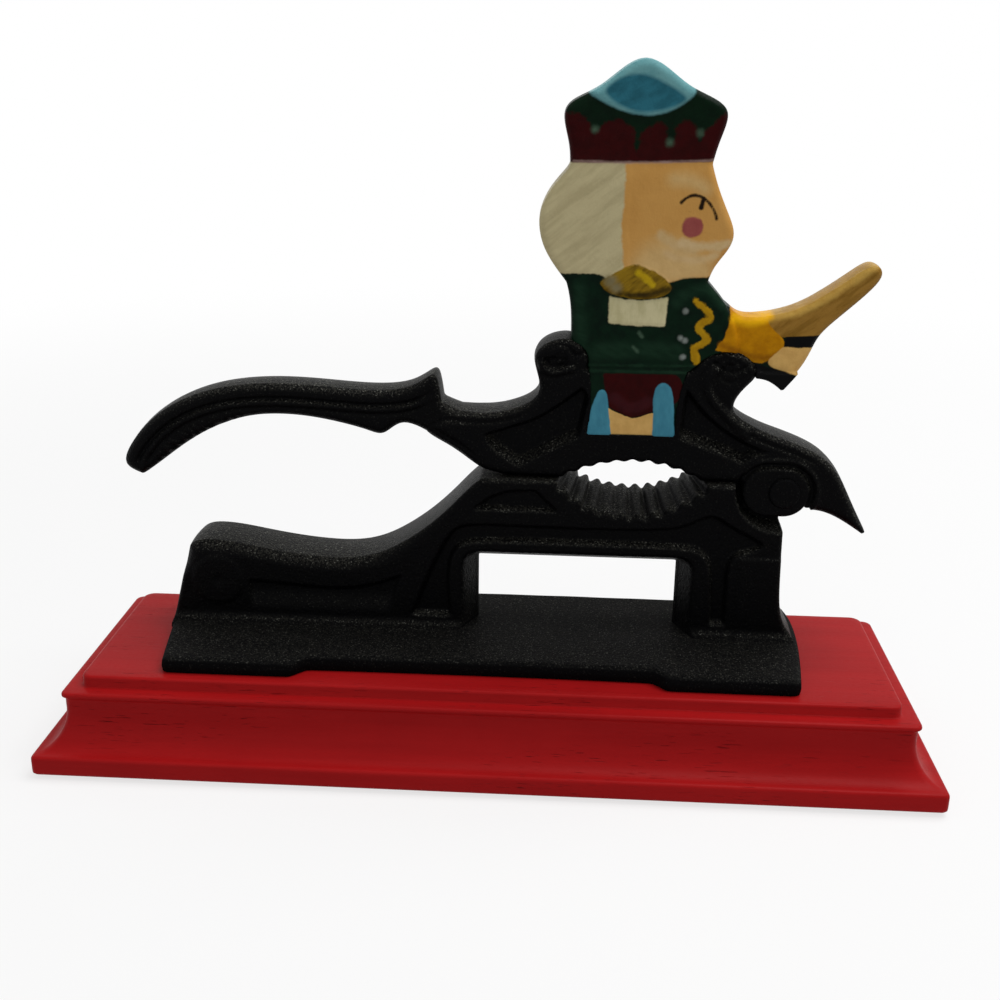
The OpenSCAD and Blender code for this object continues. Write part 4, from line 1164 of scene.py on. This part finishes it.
@dataclass
class Soldier:
    """The toy soldier: a pillow-edged relief with painted areas, the same on both faces."""

    lever: Outline
    half: float = 7.0
    lap: float = 0.4
    arm_half: float = 5.4
    leg_half: float = 7.2
    edge: float = 2.1
    belt: float = 84.6
    body: Outline = field(init=False)
    arm: Outline = field(init=False)
    legs: Outline = field(init=False)
    patches: list[Patch] = field(init=False)

    def __post_init__(self) -> None:
        """Draws the outlines and the painted areas."""
        self.body = Outline.curve([
            (20.9, 88, 2), (20.9, 99), (20, 105), (19, 108.4, 2), (13, 116), (11, 122.4),
            (11.3, 128.2), (14.4, 134), (18.6, 138.4), (19.2, 140, 2), (19, 145), (16.6, 152.2),
            (18.4, 156), (26, 158.8), (31, 163.2), (38.1, 168.3), (45.2, 163.4), (50, 159.4),
            (57.6, 156.6), (61, 153.4), (58, 146), (56.8, 140.4, 2), (58.6, 134.4), (62, 127.4),
            (64.3, 122.4), (62.8, 118), (59, 113.6), (57.6, 109.2, 2), (60, 106.6), (64, 102),
            (67, 96), (68, 90), (66, 84, 2), (60, 80, 2), (30, 80, 2)])
        self.arm = Outline.curve([
            (58, 104), (62.5, 104), (66, 100.2), (69.5, 99.2), (75, 99.8), (82.5, 101.6),
            (89.2, 105.4), (97.4, 111.4), (102.8, 115.6), (105.8, 112.2), (102.2, 107.4),
            (95.4, 101), (89.6, 95.6), (88, 91.8), (86, 86.8), (83, 82.6), (80.2, 79.2, 2),
            (76.6, 82.2), (72.4, 83), (64, 82), (58, 92)])
        self.legs = Outline(np.array([
            (25.8, 86.4), (26.4, 79), (26.6, 72), (25.8, 65.2), (51.2, 65.2), (51.4, 73),
            (52.4, 79), (54, 86.4)], float))
        self.patches = self._patches()

    def _patches(self) -> list[Patch]:
        """The painted areas, in the order in which they are laid; the sheen, highlight, glint and
        shade areas are painted light and shade, the rest the soldier's own paint.
        """

        def area(control: Control) -> Depth:
            """All that lies inside a curve."""
            return Outline.curve(control, 4).depth

        def stroke(width: float, control: Control) -> Depth:
            """A brush stroke, width to either side of a curve."""
            line = Outline.curve(control, 4, closed=False)
            return lambda x, z: width - line.distance(x, z)

        def spots(size: float, places: Control) -> Depth:
            """Round dots of one radius."""
            return lambda x, z: size - np.min([np.hypot(x - a, z - b) for a, b in places], axis=0)

        slant = -38
        jaw_stop = 9  # how sharply the light on the jaw stops at the face's edge
        cream = Enamel((0.62, 0.54, 0.31), (0.44, 0.37, 0.20), (0.22, 1, 1.3), slant, 0.6)
        skin = Enamel((0.66, 0.35, 0.095), (0.58, 0.29, 0.07), (0.5, 1, 0.3), 0, 0.5)
        # painted highlight on the face: the lit jaw and brow
        lit_skin = Enamel((0.72, 0.48, 0.20), (0.64, 0.41, 0.16))
        maroon = Enamel((0.034, 0.0016, 0.0018), (0.018, 0.0010, 0.0010))
        green = Enamel((0.0012, 0.0105, 0.0035), (0.0008, 0.005, 0.002))
        # painted highlight: the lighter green of glossy streaks on the coat and its hem ridges
        painted_sheen = Enamel((0.008, 0.028, 0.014), (0.003, 0.016, 0.007), (0.5, 1, 1.6), 20, 0.8)
        # painted highlight: the pale blue round the dome's rim
        lit_blue = Enamel((0.17, 0.40, 0.42), (0.11, 0.31, 0.34))
        deep_blue = Enamel((0.030, 0.17, 0.23), (0.018, 0.11, 0.15), (0.6, 1, 1.4), -30, 0.8)
        leg_blue = Enamel((0.068, 0.28, 0.38), (0.045, 0.20, 0.29), (1, 1, 0.4), 0, 0.7)
        tan = Enamel((0.74, 0.46, 0.15), (0.60, 0.34, 0.10))
        yellow = Enamel((0.58, 0.25, 0.003), (0.42, 0.16, 0.002), (1, 1, 1), 0, 0.7)
        gold = Enamel((0.30, 0.18, 0.012), (0.12, 0.065, 0.005), (0.5, 1, 2.0), slant, 0.9)
        brass = Enamel((0.36, 0.19, 0.035), (0.22, 0.11, 0.014), (0.4, 1, 2.0), slant, 0.9)
        black = Enamel((0.0022, 0.0022, 0.0026), (0.0012, 0.0012, 0.0014))
        brown = Enamel((0.016, 0.008, 0.004), (0.010, 0.005, 0.003))
        pink = Enamel((0.36, 0.09, 0.08), (0.30, 0.065, 0.06))
        silver = Enamel((0.24, 0.27, 0.25), (0.12, 0.14, 0.12))
        # the colour of painted glints on the hat's drips and the coat
        mint = Enamel((0.075, 0.13, 0.085), (0.04, 0.08, 0.05))
        face = area([
            (33.8, 142, 2), (33.8, 132), (33.2, 122), (34.6, 116), (34.4, 106, 2), (42, 108),
            (48, 109.3), (51, 110.6), (58, 110.8, 2), (68, 112, 2), (68, 142, 2)])
        jaw = area([(38, 107, 2), (36, 113), (40, 120), (48, 121), (58, 116), (60, 110, 2)])
        return [
            # painted highlights: glossy streaks on the coat
            Patch("coat_band", painted_sheen, stroke(2.3, [
                (28.5, 89.2), (36, 90.4), (44, 90.4), (50, 89.6)]), 0.0, 0.3, 1.6),
            Patch("coat_shoulder", painted_sheen, stroke(1.5, [(49.6, 103.6), (53, 107.4), (58.5, 107.6),
                                                       (62, 103.4)]), 0.0, 0.3, 1.3),
            Patch("coat_side", painted_sheen, stroke(1.6, [(22.6, 107), (23, 99), (24, 92), (23.4, 88)]),
                  0.0, 0.3, 1.4),
            Patch("hair", cream, area([
                (8, 116, 2), (8, 142, 2), (35.6, 142, 2), (35.6, 132), (35, 122), (36.4, 116),
                (36.2, 106, 2), (28, 110.9, 2), (10, 110.9, 2)]), 0.15, 0.3, 0.3),
            Patch("face", skin, face, 0.0, 0.45, 0.45),
            # painted highlights: light on the jaw, stopped at the face's edge, and on the brow
            Patch("jaw_light", lit_skin, lambda x, z: np.minimum(
                jaw(x, z), jaw_stop * face(x, z)), 0.0, 0.3, 3.5),
            Patch("brow", lit_skin, stroke(1.4, [(47, 136.6), (52, 136.4), (55, 134)]),
                  0.0, 0.3, 2.2),
            Patch("moustache", Enamel((0.68, 0.47, 0.22), (0.62, 0.40, 0.16)), stroke(
                1.3, [(44.2, 121.8), (46.8, 119.9), (50, 118.4), (53, 117.9)]), 0.0, 0.5, 1.0),
            Patch("moustache_tip", Enamel((0.72, 0.52, 0.27), (0.64, 0.43, 0.18)), stroke(
                1.2, [(50, 119.8), (55, 118.7), (60, 119.2), (62.4, 119.8)]), 0.0, 0.5, 0.8),
            Patch("beard_stroke", Enamel((0.72, 0.50, 0.24), (0.62, 0.40, 0.17)), stroke(
                0.9, [(45.6, 117), (50, 115.2), (55, 115.2), (59, 116.6)]), 0.0, 0.5, 0.9),
            Patch("cheek", pink, spots(2.8, [(52.4, 124.1)]), 0.15, 0.3, 0.4),
            Patch("eye", brown, stroke(0.42, [
                (48.9, 130.5), (50.5, 132.1), (52.7, 132.7), (54.9, 131.9), (56.9, 130.1),
                (58.1, 128.1), (58.6, 126.4)]), 0.0, 0.2, 0.3),
            Patch("lash", brown, stroke(0.6, [(54.8, 131.6), (54.3, 129.2)]), 0.0, 0.2, 0.3),
            Patch("hat", maroon, area([
                (10, 140.3, 2), (33, 140.4), (56, 141, 2), (66, 142, 2), (66, 172, 2),
                (10, 172, 2)]), 0.35, 0.15, 0.3),
            Patch("hat_rim", Enamel((0.50, 0.34, 0.30), (0.32, 0.20, 0.17)), stroke(
                0.2, [(20, 140.7), (33, 140.5), (45, 140.8), (57, 141.5)]), 0.0, 0.15, 0.5),
            Patch("hat_green", green, area([
                (10, 153.4, 2), (17.9, 152.8), (21, 153.4), (23.4, 151.8), (25.2, 146.8, 3),
                (27, 151), (29.9, 151.2), (33.4, 151.2), (35.2, 149.4), (36.4, 142.8, 3),
                (37.8, 149), (39.6, 150.6), (42.2, 150.8), (44, 149.8), (45.3, 144.4, 3),
                (46.8, 150), (49.2, 151.4), (51.4, 150.8), (53, 146.4, 3), (54.6, 150.4),
                (56.6, 151.4), (60, 154), (66, 154.6, 2), (66, 172, 2), (10, 172, 2)]),
                0.1, 1.0, 0.6),
            Patch("drop_glints", mint, spots(0.8, [(25.3, 148.8), (45.0, 145.8), (52.8, 148.4)]),
                  0.0, 0.4, 1.0),
            # the dome, raised; its pale blue rim is painted highlight round the deep blue paint
            Patch("dome", lit_blue, area([
                (21.4, 160), (24.2, 157.2), (28.4, 155.1), (33, 153.3), (38, 152.4),
                (42.9, 152.9), (46.4, 154.4), (48.9, 156.2), (52, 158.2), (52, 172, 2),
                (24, 172, 2)]), 0.8, 0.15, 0.5),
            Patch("dome_deep", deep_blue, area([
                (26.8, 158.6), (29.6, 160.8), (33, 162.6), (37, 163.2), (42, 161.4),
                (46.4, 158.8), (49.6, 157), (47.2, 155.4), (43, 153.9), (37.8, 153.2),
                (33.4, 154), (29.8, 156)]), -0.1, 0.15, 0.7),
            Patch("gold", gold, area([
                (28.2, 108.6, 2), (31.4, 111.4), (34.8, 113.2), (37.9, 113.9), (41.9, 112.8),
                (45.1, 110.8), (48.2, 108.2), (47.2, 105.8), (42.9, 104.6), (38.2, 104.2),
                (32.8, 105), (29.3, 106.6)]), 0.9, 0.3, 0.3),
            Patch("gold_pale", Enamel((0.24, 0.20, 0.10), (0.17, 0.13, 0.05)), spots(
                1.6, [(31, 109.3), (32.6, 107.4)]), 0.0, 0.4, 1.1),
            Patch("gold_dark", Enamel((0.045, 0.028, 0.004), (0.02, 0.012, 0.002)), stroke(
                0.7, [(33.4, 105.8), (38, 105.4), (43, 106), (47, 107.6)]), 0.0, 0.5, 0.9),
            Patch("glint", Enamel((0.66, 0.45, 0.01), (0.45, 0.28, 0.01)), stroke(
                0.7, [(38.6, 111.6), (40.6, 110.4), (42.4, 108.6)]), 0.1, 0.5, 0.7),
            Patch("coat_glints", mint, stroke(0.3, [(39.4, 95), (40.4, 93.8)]), 0.0, 0.3, 0.6),
            Patch("coat_glint_low", mint, stroke(0.2, [(38, 91), (39.4, 89.6)]), 0.0, 0.3, 0.6),
            Patch("shirt", Enamel((0.70, 0.64, 0.38), (0.54, 0.49, 0.26), (1.4, 1, 0.5), 0, 0.8),
                  area([(30.9, 105.1, 2), (30.8, 97.4, 2), (38.6, 96.9), (46.7, 96.9, 2),
                        (47, 105, 2), (42.9, 104.2), (38.2, 103.8), (33, 104.6)]), 0.3, 0.25, 0.3),
            Patch("braid", Enamel((0.50, 0.28, 0.008), (0.34, 0.17, 0.004)), stroke(0.95, [
                (54.6, 104.2), (57.6, 101.8), (59.8, 99.6), (57.5, 98.6), (54.9, 97.2),
                (57.2, 95.2), (58.9, 92.9), (55.4, 91.6), (54.3, 91), (55.5, 88.8),
                (56.0, 86.8)]), 0.15, 0.6, 0.35),
            Patch("buttons", silver, spots(0.75, [(52, 101.3), (51.0, 93.8), (52.2, 93.2),
                                                  (52, 88.5)]), 0.1, 0.3, 0.5),
            Patch("sword", brass, area([
                (70, 98, 2), (72.4, 100.4), (74, 104, 2), (110, 122, 2), (112, 108, 2),
                (92, 94.9, 2), (87.9, 94.9), (80.3, 94.4), (76, 94)]), 0.0, 0.2),
            # painted highlight along the sword's top edge
            Patch("sword_edge", Enamel((0.52, 0.32, 0.07), (0.40, 0.22, 0.04)), stroke(1.0, [
                (74, 99.2), (82.5, 100.8), (89.2, 104.4), (97.4, 110.4), (102.6, 114.2)]),
                0.0, 0.4, 0.9),
            Patch("sleeve", yellow, area([
                (64.9, 104, 2), (74.6, 103, 2), (74.1, 98.6), (77.2, 95.8), (79.9, 93.9),
                (79.9, 90.9), (76.9, 88.5), (74, 86.6), (70.8, 87.2), (67.4, 89.9),
                (60.4, 90.4, 2), (63.2, 94), (63.9, 98)]), 0.2, 0.3, 0.25),
            # painted highlight along the sleeve's top, and painted shade along its lower part
            Patch("sleeve_light", Enamel((0.85, 0.45, 0.006), (0.70, 0.34, 0.004)), stroke(
                1.2, [(65.6, 99.4), (69, 98.2), (72.4, 98.6), (75.2, 100.2)]), 0.0, 0.3, 1.0),
            Patch("sleeve_shade", Enamel((0.34, 0.13, 0.003), (0.26, 0.09, 0.002)), stroke(
                0.8, [(62.6, 92), (68, 90.2), (73, 87.6), (78.6, 89.8)]), 0.0, 0.4, 1.0),
            Patch("cuff_bar", black, area([
                (79.9, 94.6, 2), (84, 94.8), (91, 95.2, 2), (91, 91.6, 2), (83, 91.5),
                (79.8, 91.4, 2)]), 0.0, 0.2, 0.25),
            Patch("hand", tan, area([
                (79.4, 91.6, 2), (92, 91.4, 2), (92, 83, 2), (85.6, 83.6, 2), (80.4, 84.6),
                (74.8, 86.3), (76.6, 89)]), 0.1, 0.2, 0.25),
            Patch("under_arm", black, area([
                (66, 87.4, 2), (70.8, 87.6), (74, 86.2), (78.1, 85.4), (84.6, 83.6), (88, 81, 2),
                (82, 74, 2), (66, 76, 2)]), 0.0, 0.2, 0.25),
            # the hem's raised ridges, painted in the sheen green as painted highlight
            Patch("hem_fold", painted_sheen, stroke(0.35, [(22, 83.9), (36, 84), (50, 84), (56, 84.2)]),
                  0.3, 0.3, 0.3),
            Patch("hem", painted_sheen, stroke(0.35, [(22, 85.6), (36, 85.7), (50, 85.8), (60, 86.2)]),
                  0.3, 0.3, 0.3),
            Patch("trousers", maroon, area([
                (30, 83.4, 2), (30.4, 80.4), (31.2, 77), (31.8, 73.2), (35.6, 71.9), (38.4, 70.4),
                (41.4, 71.3), (44.4, 72.5), (49, 74, 2), (52.6, 76.4), (52.8, 81),
                (50.4, 83.4, 2)]), 0.0, 0.2, 0.25),
            # painted shade in a fold of the trousers
            Patch("trouser_fold", Enamel((0.045, 0.006, 0.008), (0.03, 0.004, 0.006)), stroke(
                1.5, [(33.4, 76.4), (36, 74), (39.6, 73.2), (43, 75.4)]), 0.0, 0.3, 0.9),
            Patch("between", tan, area([
                (24, 60, 2), (30, 74.4, 2), (31.8, 73.2), (35.6, 71.7), (38.4, 70.2),
                (41.4, 71.1), (44.6, 72.5, 2), (54, 60, 2)]), 0.0, 0.2),
            Patch("leg_left", leg_blue, area([
                (24.8, 60, 2), (25.4, 64.8), (26.6, 71.5), (28, 76.8), (29.8, 79.2), (31.6, 78),
                (31.8, 72.9), (33.2, 65), (33.4, 60, 2)]), 0.15, 0.15, 0.2),
            Patch("leg_right", leg_blue, area([
                (44.5, 60, 2), (44.6, 66), (44.6, 72), (44.2, 78), (45.4, 80.8), (47.5, 81.3),
                (49.4, 79.9), (50.4, 74.7), (50.5, 69), (51.4, 65.1), (51.6, 60, 2)]), 0.15, 0.15,
                0.2),
        ]

    def depth(self, x: Array, z: Array) -> Array:
        """How deep a point of the front view lies in the figure."""
        upper = np.maximum(self.body.depth(x, z), self.arm.depth(x, z))
        upper = np.minimum(upper, self.lap - self.lever.depth(x, z))
        return np.maximum(upper, self.legs.depth(x, z))

    def thickness(self, x: Array, z: Array) -> Array:
        """Half the figure's thickness: body, arm and legs, each with its own rounding.

        The head swells a little, and below the belt the legs fill their seat in the lever.
        """
        body, arm = self.body.depth(x, z), self.arm.depth(x, z)
        h = (self.half - quarter_round(body, self.edge)) * smooth(body, -0.4, 0.2)
        sleeve = (self.arm_half - quarter_round(arm, self.edge)) * smooth(arm, -0.4, 0.2)
        h = np.maximum(h, sleeve)
        h += 0.5 * smooth(z, 112, 132) * smooth(142 - z, 0, 6)
        for patch in self.patches:
            if patch.rise:
                h += patch.rise * smooth(patch.depth(x, z), -0.2, 0.7)
        legs = self.legs.depth(x, z)
        seat = self.leg_half - quarter_round(legs, 0.4)
        calf = np.maximum(self._depth_of("leg_left", x, z), self._depth_of("leg_right", x, z))
        seat += 0.35 * smooth(calf, -0.2, 0.6)
        return np.where(z < self.belt, np.maximum(np.where(body > 0.4, h, 0), seat), h)

    def _depth_of(self, name: str, x: Array, z: Array) -> Array:
        """Depth inside one painted area."""
        return next(p for p in self.patches if p.name == name).depth(x, z)

    def material(self) -> Material:
        """All enamels, laid over the coat's green in the patches' order."""
        g = Graph("soldier_enamels")
        fray = g.noise(1300.0, 2.0, 0.6) * 0.7 + g.noise(380.0, 1.0, 0.5) * 1.3 - 1.0
        colour = Enamel((0.002, 0.013, 0.0055), (0.001, 0.006, 0.003), (1, 1, 1), 0, 0.8).paint(g)
        sword, gold = (g.field(f"zone_{name}").step(-0.1, 0.1) for name in ("sword", "gold"))
        for patch in self.patches:
            edge = g.field(f"zone_{patch.name}") + fray * (2 * patch.ragged)
            colour = g.blend(edge.step(-patch.soft, patch.soft), colour, patch.enamel.paint(g))
        soot = g.noise(700.0, 4.0, 0.65).step(0.62, 0.78)
        colour = g.blend(soot * 0.12, colour, (0.02, 0.017, 0.012))
        lumps = g.noise(420.0, 3.0, 0.55)
        fine = g.noise(1500.0, 2.0, 0.5)
        rough = 0.36 + (lumps - 0.5) * 0.25 - sword.most(gold) * 0.04
        normal = g.bump(fine, 0.25, 0.0002, g.bump(lumps, 0.35, 0.0006))
        return g.finish(colour, rough, normal, Specular_IOR_Level=0.04)

    def build(self) -> Thing:
        """The figure in one piece, with its painted areas as fields on the vertices."""
        form = ReliefForm(self.depth, lambda x, z, _: MIDDLE - self.thickness(x, z),
                          lambda x, z, _: MIDDLE + self.thickness(x, z), (9, 63), (109, 171),
                          step=0.45, radius=0.9, lip=0.3, draft=0.2).build()
        x, z = form.points[:, 0].copy(), form.points[:, 2].copy()
        form.points[:, 2] += DECK
        piece = form.mesh("toy_soldier", self.material())
        paint_fields(piece, {f"zone_{p.name}": p.depth(x, z) for p in self.patches})
        return piece


@dataclass
class Studio:
    """Floor, lamps, world and camera."""

    focal: float = 1250.0
    frame: float = 1000.0
    film: float = 36.0
    eye: Triple = (19.7488, -338.538, 193.7258)
    yaw: float = -0.0528834
    pitch: float = 0.3424854
    roll: float = 0.01312046
    side: float = 60.0
    bounce: Colour = (0.6, 0.6, 0.6)
    near_white: float = 0.72
    fade: Pair = (0.2, 0.8)
    ambient: float = 0.33

    def camera(self) -> None:
        """The photograph's camera: looks along yaw and pitch, then rolls about its view."""
        cp, sp = math.cos(self.pitch), math.sin(self.pitch)
        cy, sy = math.cos(self.yaw), math.sin(self.yaw)
        ahead = Vector((sy * cp, cy * cp, -sp))
        right = Vector((cy, -sy, 0.0))
        up = right.cross(ahead)
        cr, sr = math.cos(self.roll), math.sin(self.roll)
        side, top = cr * right + sr * up, -sr * right + cr * up
        data = bpy.data.cameras.new("view")
        data.sensor_width = self.film
        data.lens = self.film * self.focal / self.frame
        data.clip_start = 0.01
        camera = link("view", data)
        turn = Matrix((side, top, -ahead)).transposed()
        camera.matrix_world = Matrix.Translation(Vector(self.eye) * MM) @ turn.to_4x4()
        bpy.context.scene.camera = camera

    def lamp(self, name: str, place: Triple, size: float, watts: float) -> None:
        """A square soft lamp aimed at the middle of the object."""
        data = bpy.data.lights.new(name, "AREA")
        data.size = size
        data.energy = watts
        thing = link(name, data)
        aim = Vector((0.02, 0.0, 0.08)) - Vector(place)
        thing.rotation_euler = aim.to_track_quat("-Z", "Y").to_euler()
        thing.location = place

    def floor(self) -> None:
        """A pale floor that keeps the object's shadow and brightens to white further off.

        What the camera sees is a blend of the lit floor and plain white: the white's share
        is near + (1 - near) smoothstep(distance from the object).
        """
        g = Graph("pale_floor")
        seen = g.seen()
        away = g.node("ShaderNodeVectorMath", {"operation": "LENGTH"}, g.place(), out="Value")
        clean = g.blend(g.noise(3.0, 2.0, 0.5), (0.93, 0.93, 0.93), (0.96, 0.96, 0.96))
        lit = g.principled(g.blend(seen, self.bounce, clean), 0.9, Specular_IOR_Level=0.1)
        white = g.node("ShaderNodeEmission", {}, (1.0, 1.0, 1.0), 1.0)
        share = self.near_white + (1 - self.near_white) * away.step(*self.fade)
        g.close(g.node("ShaderNodeMixShader", {}, seen * share, lit, white))
        data = bpy.data.meshes.new("floor")
        corners = [(sx * self.side, sy * self.side, 0)
                   for sx, sy in ((-1, -1), (1, -1), (1, 1), (-1, 1))]
        data.from_pydata(corners, [], [(0, 1, 2, 3)])
        data.materials.append(g.owner)
        link("floor", data)

    def world(self) -> None:
        """An even pale surround: white to the camera, softer as a light."""
        g = Graph("surround", world=True)
        light, white = (g.node("ShaderNodeBackground", {}, (1.0, 1.0, 1.0), strength)
                        for strength in (self.ambient, 1.0))
        bpy.context.scene.world = g.close(
            g.node("ShaderNodeMixShader", {}, g.seen(), light, white))

    def build(self) -> None:
        """Sets up the whole studio."""
        self.camera()
        self.floor()
        self.world()
        self.lamp("key", (0.45, 0.10, 1.2), 0.9, 11.5)
        self.lamp("fill", (-0.35, -1.1, 0.6), 1.2, 1.5)
        bpy.context.scene.view_settings.view_transform = "Standard"


def main() -> None:
    """Builds the press over its frame, then the studio round it."""
    logging.basicConfig(level=logging.INFO, format="%(message)s")
    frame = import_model()
    Studio().build()
    black = CastEnamel().material()
    steel = PlatedSteel().material()
    felt = Felt().material()
    hinge, seat, board = Hinge(), NutSeat(), WoodenBoard()

    def settle(piece: Thing, body: str, slot: str, *nodes: str) -> None:
        """Lets a finished piece stand for its CAD nodes and ride with their body."""
        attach(piece, body)
        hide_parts(*nodes)
        LOG.info("%s: %d faces", piece.name, len(piece.data.polygons))

    settle(board.build(RedWoodPaint().material()), "base", "red_wood", "wooden_base")
    for sx, side in ((-1, "left"), (1, "right")):
        for sy, end in ((-1, "front"), (1, "rear")):
            pad = board.pad(sx, sy, f"felt_disc_{end}_{side}", felt)
            settle(pad, "base", "green_felt", f"felt_pad_{end}_{side}")
    settle(BaseCasting(hinge, seat).build(black), "base", "black_iron", "base_casting")
    lever = LeverCasting(hinge, seat)
    settle(lever.build(black), "lever", "black_iron", "lever_casting")
    settle(Soldier(lever.body).build(), "lever", "painted_figure", "soldier_figure")
    for name, finish in (("hinge_rivet", black), ("mounting_screws", steel),
                         ("screw_washers", steel)):
        node = frame["nodes"][name]
        node.data.materials.clear()
        node.data.materials.append(finish)


if __name__ == "__main__":
    main()
